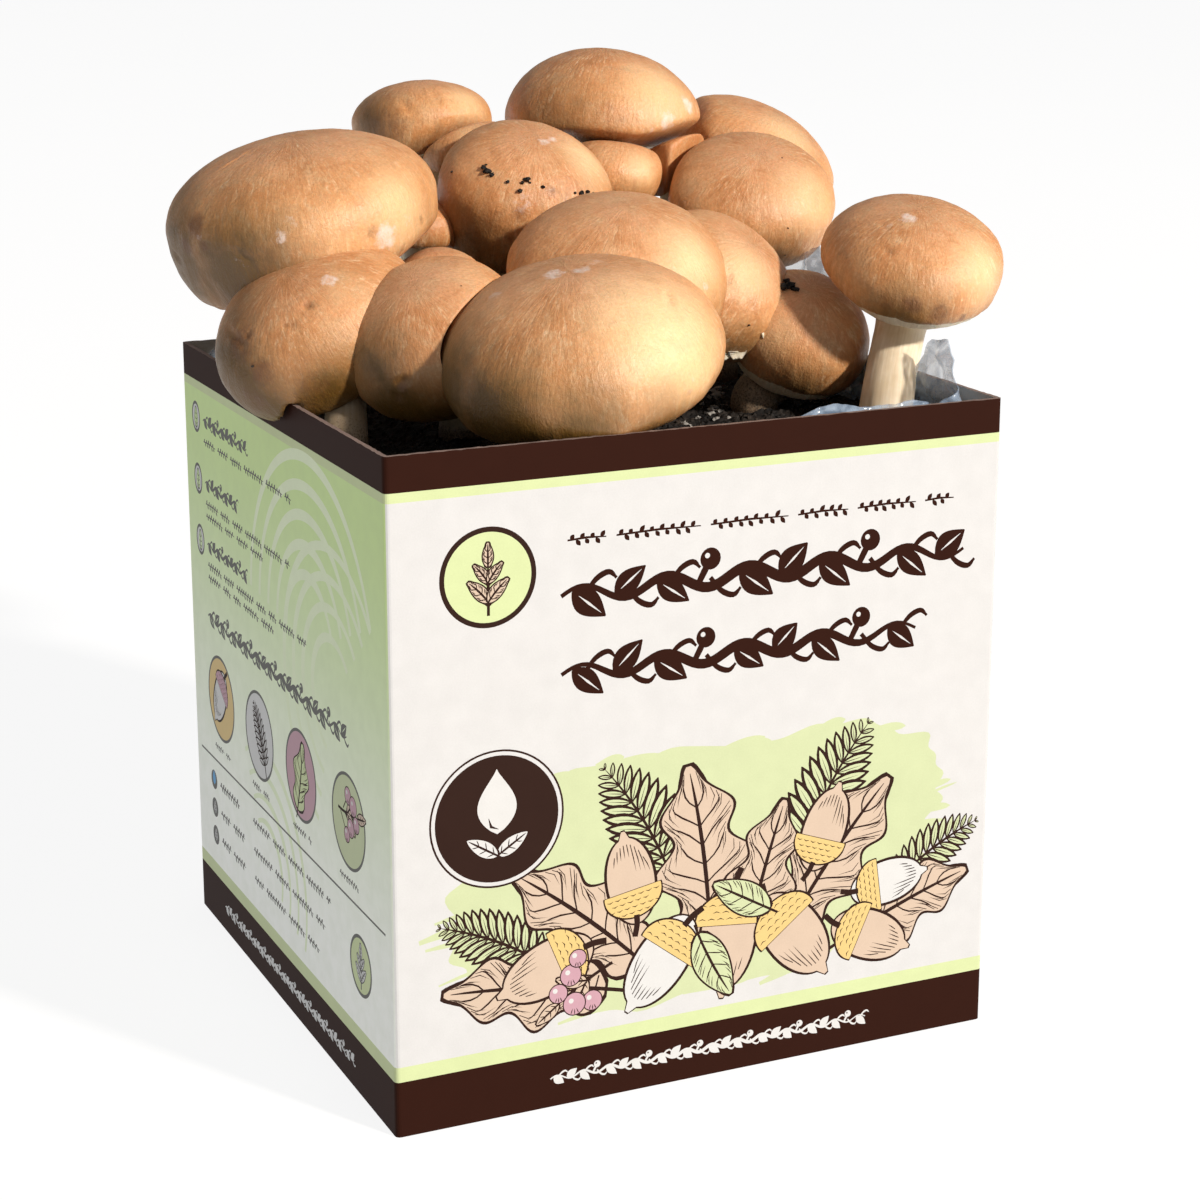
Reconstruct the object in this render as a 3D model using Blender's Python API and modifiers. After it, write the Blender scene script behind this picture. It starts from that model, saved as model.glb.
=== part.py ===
"""Chestnut mushroom grow kit: a printed carton whose lid has been torn off, the clear bag inside it,
the casing soil that fills the bag, and the cluster of chestnut mushrooms that grows out of the soil.

Metres, +Z up. The origin is the middle of the carton's base, and the carton's front faces -Y.
"""

from math import atan2, cos, degrees, pi, radians, sin

import bmesh
import bpy
import numpy as np
from mathutils import Matrix, Vector, noise

MM = 0.001
CLEARANCE = 0.35 * MM

# Carton: board folded into an open box, with a bottom of two plies
CARTON_SIDE = 196 * MM
CARTON_HEIGHT = 200 * MM
BOARD = 1.5 * MM
FOLD_RADIUS = 1.5 * MM
FLAP_EDGE_Y = 86 * MM
FLAP_SLOT = 0.8 * MM

# Bag: thin film that lines the carton and ends in a crumpled collar
FILM = 0.5 * MM
BAG_CORNER = 14 * MM
BAG_SIDE_COLUMNS = 11
BAG_CORNER_COLUMNS = 3
BAG_ROWS = 5
BAG_CRUMPLE = 3.5 * MM
BAG_RAGGED = 2.0 * MM
# Heading round the carton, from +X, and the height of the film's rim there
BAG_RIM = ((-180, 190), (-90, 190), (-48, 190), (-40, 200), (-36, 213), (-33, 212), (-29, 197), (-21, 196),
           (-10, 200), (-5, 214), (1, 221), (6, 223), (20, 217), (30, 213), (35, 199), (45, 199), (70, 206),
           (180, 190))

# Casing soil: a block that fills the bag, with a lumpy top and a socket for each stem
SOIL_LEVEL = 184 * MM
SOIL_CELLS = 15
SOIL_LUMP = 3.0 * MM
SOIL_LUMP_SPACING = 24 * MM
SOIL_EASE = 1.5 * MM
SOCKET_DEPTH = 7 * MM
SOCKET_SIDES = 12

# Mushrooms: lengths in millimetres and angles in degrees, one row each
#   x, y, z: middle of the cap's widest ring; radius: of that ring
#   stretch: the ring's other half axis over radius, the long one turned by turn from +X
#   crown, hem: rise above and drop below the widest ring, over radius
#   lean, to: tilt of the cap's axis and the heading that it tilts to, from +X towards +Y
#   foot x, y: where the stem stands in the soil; thick: radius of the stem
MUSHROOM_FIELDS = ("name", "x", "y", "z", "radius", "stretch", "turn", "crown", "hem",
                   "lean", "to", "foot_x", "foot_y", "thick")
MUSHROOM_ROWS = (
    ("left_large", -75.3, 33.0, 250.0, 43.2, 0.96, 0, 0.54, 0.47, 10, 195, -60, 46, 8.0),
    ("left_front", -83.6, -0.9, 218.6, 32.0, 0.94, 0, 0.65, 0.46, 33, 203, -82, -21, 6.2),
    ("front_left", -55.0, -26.3, 216.6, 28.0, 0.98, 0, 0.72, 0.47, 34, 219, -40, -10, 7),
    ("front_large", -23, -60, 215, 43.4, 0.93, 0, 0.63, 0.29, 16, 222, -12, -54, 12),
    ("middle_large", 10.1, -14.3, 229.5, 35.3, 0.96, 0, 0.72, 0.42, 19, 264, 10, 2, 10),
    ("middle_right", 48.5, -7.9, 224.7, 26.0, 1.00, 0, 0.72, 0.54, 45, 300, 43, 12, 6.5),
    ("low_right", 72.5, -18.5, 209, 22.5, 1.00, 0, 0.80, 0.55, 34, 262, 60, -12, 7),
    ("right", 99.5, -41.7, 233.3, 29.5, 1.02, 0, 0.62, 0.37, 18, 259, 83.6, -55, 6.8),
    ("right_back", 85, 40, 246, 28.8, 1.00, 0, 0.59, 0.52, 28, 262, 74, 48, 9),
    ("far_right", 108, 80, 255, 29.4, 1.00, 0, 0.56, 0.42, 29, 318, 82, 78, 9),
    ("top_large", 51, 87, 267, 34.8, 0.97, 0, 0.75, 0.30, 3, 359, 50, 83, 9),
    ("back_left", -12, 95, 270, 24.2, 1.00, 0, 0.56, 0.60, 6, 90, -20, 84, 7.5),
    ("centre", 3, 42, 252, 28.0, 1.02, 0, 0.69, 0.48, 26, 274, -2, 50, 8.5),
    ("small_back", -4, 73, 263, 15.8, 0.85, 0, 0.58, 0.42, 9, 184, -38, 68, 5.5),
    ("small_middle", 44, 60, 255, 17.2, 1.00, 0, 0.66, 0.43, 17, 300, 24, 68, 6),
    ("behind_left", -33, 44, 236, 12.0, 1.00, 0, 0.66, 0.44, 6, 80, -31, 42, 5.5),
    ("behind_right", 64, 64, 245, 11.5, 1.00, 0, 0.66, 0.44, 5, 100, 62, 63, 5),
    ("small_left", -40, 12, 229, 15.4, 1.00, 0, 0.62, 0.42, 6, 221, -34, 18, 6),
)
CAP_COLUMNS = 16
DOME_ROWS = 5
HEM_ROWS = 2
HEM_TUCK = 0.24
VEIL_RISE = 0.12
WELL_DEPTH = 5 * MM
CAP_LUMP = 0.03
CONTACT_GAP = 0.35 * MM
CONTACT_SOFTNESS = 4 * MM
CONTACT_DIRECTIONS = 600
STEM_SIDES = 2
STEM_TOP_FLARE = 1.12
STEM_FOOT_SWELL = 1.10

OVERHANGING = "left_front"
MUSHROOMS = [dict(zip(MUSHROOM_FIELDS, row)) for row in MUSHROOM_ROWS]


def cleared_scene():
    """Empties the scene and makes the collections for the parts and for their cutters."""
    for old in list(bpy.data.objects):
        bpy.data.objects.remove(old)
    parts = bpy.data.collections.new("chestnut_mushroom_grow_kit")
    cutters = bpy.data.collections.new("cutters")
    bpy.context.scene.collection.children.link(parts)
    bpy.context.scene.collection.children.link(cutters)
    return parts, cutters


def material(name, colour, roughness, alpha=1.0):
    """A plain surface of one colour (red, green and blue, 0 to 1)."""
    made = bpy.data.materials.new(name)
    made.use_nodes = True
    surface = made.node_tree.nodes["Principled BSDF"]
    surface.inputs["Base Color"].default_value = (*colour, 1.0)
    surface.inputs["Roughness"].default_value = roughness
    surface.inputs["Metallic"].default_value = 0.0
    surface.inputs["Alpha"].default_value = alpha
    return made


def placed(name, mesh, collection, surface):
    """An object with this mesh, in a collection, with one material."""
    mesh.materials.append(surface)
    made = bpy.data.objects.new(name, mesh)
    collection.objects.link(made)
    return made


def mesh_from(bm, name):
    """A mesh made from a bmesh, which is then freed."""
    mesh = bpy.data.meshes.new(name)
    bm.to_mesh(mesh)
    bm.free()
    return mesh


def boolean(target, operation, other):
    """Joins another object to the target, or cuts it from the target."""
    step = target.modifiers.new(operation.lower(), "BOOLEAN")
    step.operation = operation
    step.solver = "EXACT"
    step.object = other
    return step


def hidden_tool(name, mesh, collection):
    """An object that only cuts or joins another one."""
    tool = bpy.data.objects.new(name, mesh)
    tool.hide_render = True
    tool.display_type = "WIRE"
    collection.objects.link(tool)
    return tool


def box_mesh(name, low, high):
    """A block between two corners."""
    bm = bmesh.new()
    bmesh.ops.create_cube(bm, size=1.0)
    size = Vector(high) - Vector(low)
    bmesh.ops.transform(bm, matrix=Matrix.Diagonal((*size, 1.0)), verts=bm.verts)
    bmesh.ops.translate(bm, vec=(Vector(high) + Vector(low)) / 2, verts=bm.verts)
    return mesh_from(bm, name)


def make_carton(parts, cutters, surface):
    """The open box. Its bottom has an inner ply, and a slot shows where the outer flap ends."""
    bm = bmesh.new()
    bmesh.ops.create_cube(bm, size=1.0)
    bmesh.ops.transform(bm, matrix=Matrix.Diagonal((CARTON_SIDE, CARTON_SIDE, CARTON_HEIGHT, 1)),
                        verts=bm.verts)
    bmesh.ops.translate(bm, vec=(0, 0, CARTON_HEIGHT / 2), verts=bm.verts)
    top = [face for face in bm.faces if face.normal.z > 0.5]
    bmesh.ops.delete(bm, geom=top, context="FACES_ONLY")
    folds = [edge for edge in bm.edges if not edge.is_boundary]
    bmesh.ops.bevel(bm, geom=folds, offset=FOLD_RADIUS, segments=2, profile=0.5, affect="EDGES")
    carton = placed("carton", mesh_from(bm, "carton"), parts, surface)
    board = carton.modifiers.new("board", "SOLIDIFY")
    board.thickness = BOARD
    board.offset = -1.0

    inside = CARTON_SIDE / 2 - BOARD
    ply = box_mesh("bottom_ply", (-inside - BOARD / 3, -inside - BOARD / 3, BOARD / 2),
                   (inside + BOARD / 3, inside + BOARD / 3, 2 * BOARD))
    boolean(carton, "UNION", hidden_tool("bottom_ply", ply, cutters))
    slot = box_mesh("flap_slot", (-inside, FLAP_EDGE_Y, -BOARD), (inside, FLAP_EDGE_Y + FLAP_SLOT, BOARD))
    boolean(carton, "DIFFERENCE", hidden_tool("flap_slot", slot, cutters))
    return carton


def on_bag_wall(column, half):
    """The point at a column of the bag's wall, which is a square with round corners, and the way out."""
    side = half - BAG_CORNER
    quarter, column = divmod(column, BAG_SIDE_COLUMNS + BAG_CORNER_COLUMNS)
    if column < BAG_SIDE_COLUMNS:
        point, out = Vector((half, side * (2 * column / BAG_SIDE_COLUMNS - 1))), Vector((1, 0))
    else:
        angle = pi / 2 * (column - BAG_SIDE_COLUMNS) / BAG_CORNER_COLUMNS
        out = Vector((cos(angle), sin(angle)))
        point = Vector((side, side)) + BAG_CORNER * out
    turn = Matrix.Rotation(quarter * pi / 2, 2)
    return turn @ point, turn @ out


def bag_rim(point):
    """How high the film stands at a point of its rim: high at the right, and low at the front and left."""
    heading = degrees(atan2(point.y, point.x))
    height = np.interp(heading, *zip(*BAG_RIM)) * MM
    return height + BAG_RAGGED * noise.noise(Vector((point.x, point.y, 0)) / BAG_CORNER)


def make_bag(parts, surface):
    """The film: up from the middle of its floor, along the walls, and into the crumpled collar."""
    half = CARTON_SIDE / 2 - BOARD - CLEARANCE
    floor = 2 * BOARD + CLEARANCE
    wall_top = SOIL_LEVEL + SOIL_LUMP
    bm = bmesh.new()
    columns = 4 * (BAG_SIDE_COLUMNS + BAG_CORNER_COLUMNS)
    bmesh.ops.create_grid(bm, x_segments=columns, y_segments=BAG_ROWS, size=0.5)
    for vertex in bm.verts:
        row = round((vertex.co.y + 0.5) * BAG_ROWS)
        point, out = on_bag_wall(round((vertex.co.x + 0.5) * columns), half)
        if row == 0:
            vertex.co = (0, 0, floor)
        elif row == 1:
            vertex.co = (*point, floor)
        else:
            rise = (row - 2) / (BAG_ROWS - 2)
            fold = 0.5 + noise.noise(Vector((*point / BAG_CORNER, 2 * rise)))
            inward = BAG_CRUMPLE * rise * max(fold, 0)
            vertex.co = (*(point - out * inward), wall_top + (bag_rim(point) - wall_top) * rise)
    bmesh.ops.remove_doubles(bm, verts=bm.verts, dist=0.01 * MM)
    bmesh.ops.recalc_face_normals(bm, faces=bm.faces)
    bag = placed("bag", mesh_from(bm, "bag"), parts, surface)
    film = bag.modifiers.new("film", "SOLIDIFY")
    film.thickness = FILM
    film.offset = -1.0
    return bag


def soil_height(x, y):
    """Height of the soil's top, without the sockets."""
    return SOIL_LEVEL + SOIL_LUMP * noise.noise(Vector((x, y, 0)) / SOIL_LUMP_SPACING)


def make_soil(parts, cutters, surface):
    """The block of casing soil. Each stem stands in a round socket."""
    half = CARTON_SIDE / 2 - BOARD - 2 * CLEARANCE - FILM
    floor = 2 * BOARD + 2 * CLEARANCE + FILM
    bm = bmesh.new()
    bmesh.ops.create_grid(bm, x_segments=SOIL_CELLS, y_segments=SOIL_CELLS, size=half)
    inner = half - BAG_CORNER
    for vertex in bm.verts:
        past = Vector((max(abs(vertex.co.x) - inner, 0), max(abs(vertex.co.y) - inner, 0)))
        if past.x and past.y:
            keep = max(past) / past.length * (BAG_CORNER - SOIL_EASE) / BAG_CORNER
            vertex.co.x = (inner + past.x * keep) * (1 if vertex.co.x > 0 else -1)
            vertex.co.y = (inner + past.y * keep) * (1 if vertex.co.y > 0 else -1)
        vertex.co.z = soil_height(vertex.co.x, vertex.co.y)
    rim = [edge for edge in bm.edges if edge.is_boundary]
    skirt = bmesh.ops.extrude_edge_only(bm, edges=rim)["geom"]
    lower = [item for item in skirt if isinstance(item, bmesh.types.BMVert)]
    for vertex in lower:
        vertex.co.z = floor
    bmesh.ops.contextual_create(bm, geom=[edge for edge in bm.edges if edge.is_boundary])
    bmesh.ops.recalc_face_normals(bm, faces=bm.faces)
    soil = placed("soil", mesh_from(bm, "soil"), parts, surface)
    for mushroom in MUSHROOMS:
        bm = bmesh.new()
        radius = (mushroom["thick"] * STEM_FOOT_SWELL * MM + CLEARANCE) / cos(pi / SOCKET_SIDES)
        bmesh.ops.create_cone(bm, cap_ends=True, segments=SOCKET_SIDES, radius1=radius, radius2=radius,
                              depth=4 * SOCKET_DEPTH)
        centre = (mushroom["foot_x"] * MM, mushroom["foot_y"] * MM, SOIL_LEVEL + SOCKET_DEPTH)
        bmesh.ops.translate(bm, vec=centre, verts=bm.verts)
        name = "socket_" + mushroom["name"]
        boolean(soil, "DIFFERENCE", hidden_tool(name, mesh_from(bm, name), cutters))
    return soil


def cap_frame(mushroom):
    """The turn that leans a cap, its middle, and the turn of its long half axis."""
    heading = radians(mushroom["to"])
    lean = Matrix.Rotation(radians(mushroom["lean"]), 3, (-sin(heading), cos(heading), 0))
    middle = Vector((mushroom["x"], mushroom["y"], mushroom["z"])) * MM
    return lean, middle, Matrix.Rotation(radians(mushroom["turn"]), 3, "Z")


def cap_outline(mushroom):
    """A cap's half section as (out, up): crown, dome, rolled hem, veil, and the well for the stem."""
    radius = mushroom["radius"] * MM
    well = mushroom["thick"] * STEM_TOP_FLARE * MM + CLEARANCE
    points = []
    for row in range(DOME_ROWS + 1):
        angle = pi / 2 * row / DOME_ROWS
        points.append((radius * sin(angle), radius * mushroom["crown"] * cos(angle)))
    for row in range(1, HEM_ROWS + 1):
        angle = pi / 2 * row / HEM_ROWS
        points.append((radius * (1 - HEM_TUCK * (1 - cos(angle))), -radius * mushroom["hem"] * sin(angle)))
    veil = radius * (VEIL_RISE - mushroom["hem"])
    points.append((well, veil))
    points.append((well, veil + WELL_DEPTH))
    points.append((0.0, veil + WELL_DEPTH))
    return points


def ellipsoid(mushroom):
    """A smooth stand-in for a cap: its middle, and its three half axes as columns."""
    lean, middle, turn = cap_frame(mushroom)
    radius = mushroom["radius"] * MM
    half_height = radius * (mushroom["crown"] + mushroom["hem"]) / 2
    offset = radius * (mushroom["crown"] - mushroom["hem"]) / 2
    axes = lean @ turn @ Matrix.Diagonal((radius, radius * mushroom["stretch"], half_height))
    return np.array(middle + lean @ Vector((0, 0, offset))), np.array(axes)


def sphere_directions(count):
    """Unit directions spread evenly over a sphere, along a spiral."""
    step = np.arange(count) + 0.5
    height = 1 - 2 * step / count
    angle = step * pi * (1 + 5 ** 0.5)
    out = np.sqrt(1 - height ** 2)
    return np.stack([out * np.cos(angle), out * np.sin(angle), height], axis=1)


def contacts():
    """For each cap, the planes (way out, distance) where it meets its neighbours. Small caps yield more."""
    directions = sphere_directions(CONTACT_DIRECTIONS)
    forms = [ellipsoid(mushroom) for mushroom in MUSHROOMS]
    planes = [[] for mushroom in MUSHROOMS]
    for first in range(len(forms)):
        for second in range(first + 1, len(forms)):
            middle_a, axes_a = forms[first]
            middle_b, axes_b = forms[second]
            near_a = directions @ middle_a + np.linalg.norm(directions @ axes_a, axis=1)
            near_b = directions @ middle_b - np.linalg.norm(directions @ axes_b, axis=1)
            best = int(np.argmax(near_b - near_a))
            if near_b[best] - near_a[best] > 2 * CONTACT_SOFTNESS:
                continue
            firm_a, firm_b = MUSHROOMS[first]["radius"] ** 2, MUSHROOMS[second]["radius"] ** 2
            between = (near_a[best] * firm_a + near_b[best] * firm_b) / (firm_a + firm_b)
            planes[first].append((directions[best], between - CONTACT_GAP / 2))
            planes[second].append((-directions[best], -between - CONTACT_GAP / 2))
    return planes


def pressed(points, planes):
    """Points eased back from each plane, so that a cap lies flat where it meets its neighbour."""
    for way, distance in planes:
        reach = points @ way
        over = reach - (distance - CONTACT_SOFTNESS)
        eased = distance - CONTACT_SOFTNESS * np.exp(-np.maximum(over, 0) / CONTACT_SOFTNESS)
        points = points + np.outer(np.where(over > 0, eased - reach, 0.0), way)
    for way, distance in planes * 3:
        points = points - np.outer(np.maximum(points @ way - distance, 0.0), way)
    return points


def grown(points, mushroom, index, planes):
    """Cap points, from upright and round to lumpy, stretched, leaning, in place and pressed."""
    radius = mushroom["radius"] * MM
    heading = np.arctan2(points[:, 1], points[:, 0])
    out = np.hypot(points[:, 0], points[:, 1]) / radius
    wave = np.sin(2 * heading + 1.7 * index) + 0.7 * np.sin(3 * heading + 2.9 * index)
    points = points.copy()
    points[:, :2] *= (1 + CAP_LUMP * wave * np.clip(out, 0, 1) ** 2)[:, None]
    lean, middle, turn = (np.array(item) for item in cap_frame(mushroom))
    stretch = turn @ np.diag([1.0, mushroom["stretch"], 1.0]) @ turn.T
    rigid = points @ lean.T + middle
    shaped = pressed(points @ stretch.T @ lean.T + middle, planes)
    well = mushroom["thick"] * STEM_TOP_FLARE * MM + 2 * CLEARANCE
    in_well = (np.hypot(points[:, 0], points[:, 1]) < well) & (points[:, 2] < WELL_DEPTH)
    return np.where(in_well[:, None], rigid, shaped)


def make_cap(mushroom, index, planes, parts, cutters, surface):
    """A cap: its half section turned round its axis, then grown into place, and notched where it has grown
    down over the carton's left wall."""
    bm = bmesh.new()
    corners = [bm.verts.new((out, 0, up)) for out, up in cap_outline(mushroom)]
    edges = [bm.edges.new(pair) for pair in zip(corners, corners[1:])]
    bmesh.ops.spin(bm, geom=corners + edges, cent=(0, 0, 0), axis=(0, 0, 1), angle=2 * pi,
                   steps=CAP_COLUMNS, use_merge=True)
    bmesh.ops.remove_doubles(bm, verts=bm.verts, dist=0.01 * MM)
    bmesh.ops.recalc_face_normals(bm, faces=bm.faces)
    mesh = mesh_from(bm, "cap")
    points = np.empty(len(mesh.vertices) * 3)
    mesh.vertices.foreach_get("co", points)
    points = grown(points.reshape(-1, 3), mushroom, index, planes)
    mesh.vertices.foreach_set("co", points.ravel())
    mesh.shade_smooth()
    cap = placed("cap_" + mushroom["name"], mesh, parts, surface)
    if mushroom["name"] == OVERHANGING:
        half = CARTON_SIDE / 2
        notch = box_mesh("wall_notch", (-half - CLEARANCE, -half, CARTON_HEIGHT / 2),
                         (-half + BOARD + CLEARANCE, half, CARTON_HEIGHT + CLEARANCE))
        boolean(cap, "DIFFERENCE", hidden_tool("wall_notch", notch, cutters))
    return cap


def make_stem(mushroom, parts, surface):
    """A stem: upright in its socket, then curving over to meet the cap along the cap's axis."""
    lean, middle, turn = cap_frame(mushroom)
    radius = mushroom["radius"] * MM
    axis = lean @ Vector((0, 0, 1))
    top_height = radius * (VEIL_RISE - mushroom["hem"]) + WELL_DEPTH - CLEARANCE
    top = middle + axis * top_height
    neck = middle + axis * (top_height - WELL_DEPTH - 2 * MM)
    foot = Vector((mushroom["foot_x"] * MM, mushroom["foot_y"] * MM, SOIL_LEVEL - SOCKET_DEPTH + CLEARANCE))
    collar = foot + Vector((0, 0, SOCKET_DEPTH + 2 * MM))
    pull = (neck - collar).length / 3
    bend_low = collar + Vector((0, 0, pull))
    bend_high = neck - axis * pull
    route = [(foot, STEM_FOOT_SWELL), (collar, STEM_FOOT_SWELL)]
    for share in (0.33, 0.67):
        rest = 1 - share
        point = (collar * rest ** 3 + bend_low * 3 * rest ** 2 * share
                 + bend_high * 3 * rest * share ** 2 + neck * share ** 3)
        route.append((point, 1.0))
    route += [(neck, STEM_TOP_FLARE), (top, STEM_TOP_FLARE)]
    curve = bpy.data.curves.new("stem", "CURVE")
    curve.dimensions = "3D"
    curve.bevel_depth = mushroom["thick"] * MM
    curve.bevel_resolution = STEM_SIDES
    curve.use_fill_caps = True
    line = curve.splines.new("POLY")
    line.points.add(len(route) - 1)
    for point, (place, swell) in zip(line.points, route):
        point.co = (*place, 1.0)
        point.radius = swell
    return placed("stem_" + mushroom["name"], curve, parts, surface)


def main():
    """Makes every part of the kit."""
    parts, cutters = cleared_scene()
    board = material("printed_board", (0.93, 0.93, 0.90), 0.45)
    film = material("clear_film", (0.80, 0.86, 0.92), 0.15, alpha=0.4)
    peat = material("casing_soil", (0.045, 0.032, 0.025), 0.95)
    skin = material("cap_skin", (0.72, 0.42, 0.22), 0.5)
    flesh = material("stem_flesh", (0.86, 0.78, 0.66), 0.6)
    make_carton(parts, cutters, board)
    make_bag(parts, film)
    make_soil(parts, cutters, peat)
    planes = contacts()
    for index, mushroom in enumerate(MUSHROOMS):
        make_cap(mushroom, index, planes[index], parts, cutters, skin)
        make_stem(mushroom, parts, flesh)


main()
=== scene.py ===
"""Looks of the chestnut mushroom grow kit: caps, stems and torn veils, the casing soil, the clear bag and
the printed carton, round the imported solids. Metres, +Z up, the carton's front faces -Y."""

from math import atan2, ceil, cos, degrees, pi, radians, sin

import bmesh
import bpy
import numpy as np
from mathutils import Matrix, Vector, geometry, noise
from mathutils.bvhtree import BVHTree


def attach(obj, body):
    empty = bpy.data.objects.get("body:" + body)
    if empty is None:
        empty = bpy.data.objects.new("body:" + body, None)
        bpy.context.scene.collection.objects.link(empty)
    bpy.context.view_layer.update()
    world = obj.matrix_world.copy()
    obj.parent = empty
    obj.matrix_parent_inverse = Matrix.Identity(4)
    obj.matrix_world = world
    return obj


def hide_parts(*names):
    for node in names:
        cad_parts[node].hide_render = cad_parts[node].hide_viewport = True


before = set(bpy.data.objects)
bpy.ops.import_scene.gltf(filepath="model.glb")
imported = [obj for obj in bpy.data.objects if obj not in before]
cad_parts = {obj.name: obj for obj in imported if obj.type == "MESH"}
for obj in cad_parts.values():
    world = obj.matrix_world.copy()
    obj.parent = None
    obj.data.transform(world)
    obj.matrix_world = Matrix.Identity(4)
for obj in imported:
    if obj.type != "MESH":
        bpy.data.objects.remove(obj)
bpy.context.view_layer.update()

MM = 0.001
CLEARANCE = 0.35 * MM

# Camera: where the photograph was taken from, and the photograph's own pixels
CAMERA_PLACE = (-0.3328, -0.7524, 0.3534)
CAMERA_YAW = 24.54
CAMERA_PITCH = 13.86
PHOTO_SIDE = 1200
SENSOR = 36.0
FOCAL_PIXELS = 2644
AIM_PIXEL = (600, 520)
CLUSTER_MIDDLE = (0, 0, 230 * MM)

# Carton
CARTON_SIDE = 196 * MM
CARTON_HEIGHT = 200 * MM
BOARD = 1.5 * MM
FOLD_RADIUS = 1.5 * MM
FOLD_STEPS = 4
FLAP_EDGE_Y = 86 * MM
FLAP_SLOT = 0.8 * MM
RIM_STEPS = 110
RIM_TEAR = 0.35 * MM
RIM_TEAR_SIZE = 2.1 * MM
RIM_FRAY_SIZE = 0.9 * MM
INNER_FOLD = 0.2 * MM

# Print, in millimetres: heights of the bands, then how finely it is drawn and cut
LOW_BAND_TOP = 17.0
LOW_LINE_TOP = 21.6
HIGH_LINE_LOW = 186.7
HIGH_BAND_LOW = 189.5
PAST_RIM = 201
WASH_STEPS = 260
WASH_STROKES = 46
RIBBED_HEIGHT = 7
PRINT_SPECK = 1e-4
PRINT_WELD = 1e-4
# Inks, in the order of the carton's material slots
INKS = ("board", "brown", "line_green", "wash", "beige", "line", "side", "arc", "grey", "mauve", "ochre",
        "blue", "white", "raw", "cut")

# Bag
FILM = 0.35 * MM
SOLID_FILM = 0.5 * MM
BAG_CORNER = 14 * MM
BAG_SIDE_COLUMNS = 96
BAG_CORNER_COLUMNS = 14
BAG_COLLAR_ROWS = 34
BAG_WALL_ROWS = 6
BAG_WALL_DROP = 4 * MM
BAG_CRUMPLE = 7.8 * MM
BAG_CREASES = ((0.55, 19), (0.35, 8.5), (0.16, 3.8))
BAG_RAGGED = 2.0 * MM
BAG_NICK = 0.6 * MM
BAG_NICK_SIZE = 3 * MM
# Height of the film's rim, and how far the film leans in there, in millimetres, by heading in degrees
BAG_RIM = ((-180, 190), (-90, 190), (-75, 195), (-66, 198.5), (-48, 197), (-40, 201), (-36, 213), (-33, 212),
           (-29, 200), (-21, 199), (-10, 202), (-5, 216), (1, 227), (6, 231), (20, 226), (30, 217), (35, 199),
           (45, 199), (70, 206), (180, 190))
BAG_LEAN = ((-180, 0), (-82, 0), (-72, 9), (-60, 13), (-50, 11), (-42, 4), (-37, 0), (180, 0))

# Casing soil; the heap at the right front lies where a pixel of the photograph shows it
SOIL_LEVEL = 184 * MM
SOIL_CORNER = BAG_CORNER - 1.5 * MM
HEAP_PIXEL = (855, 398)
HEAP_LEVEL = SOIL_LEVEL + 6 * MM
HEAP_HEIGHT = 5.5 * MM
HEAP_SPREAD = 11 * MM
SOIL_CRUMBLE = ((1.7, 4.5), (1.0, 2.1))
SOIL_GRIT = (0.5, 1.3)
SOIL_SINK = 1.0 * MM
SOCKET_GAP = 0.45 * MM
CRUMB_GAP = 2.2 * MM
CRUMB_MARGIN = 4 * MM
SOIL_LUMP = 3.0 * MM
SOIL_LUMP_SPACING = 24 * MM
SOIL_CRUMB = 1.6 * MM
SOIL_CELLS = 170
SOCKET_DEPTH = 7 * MM

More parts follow.
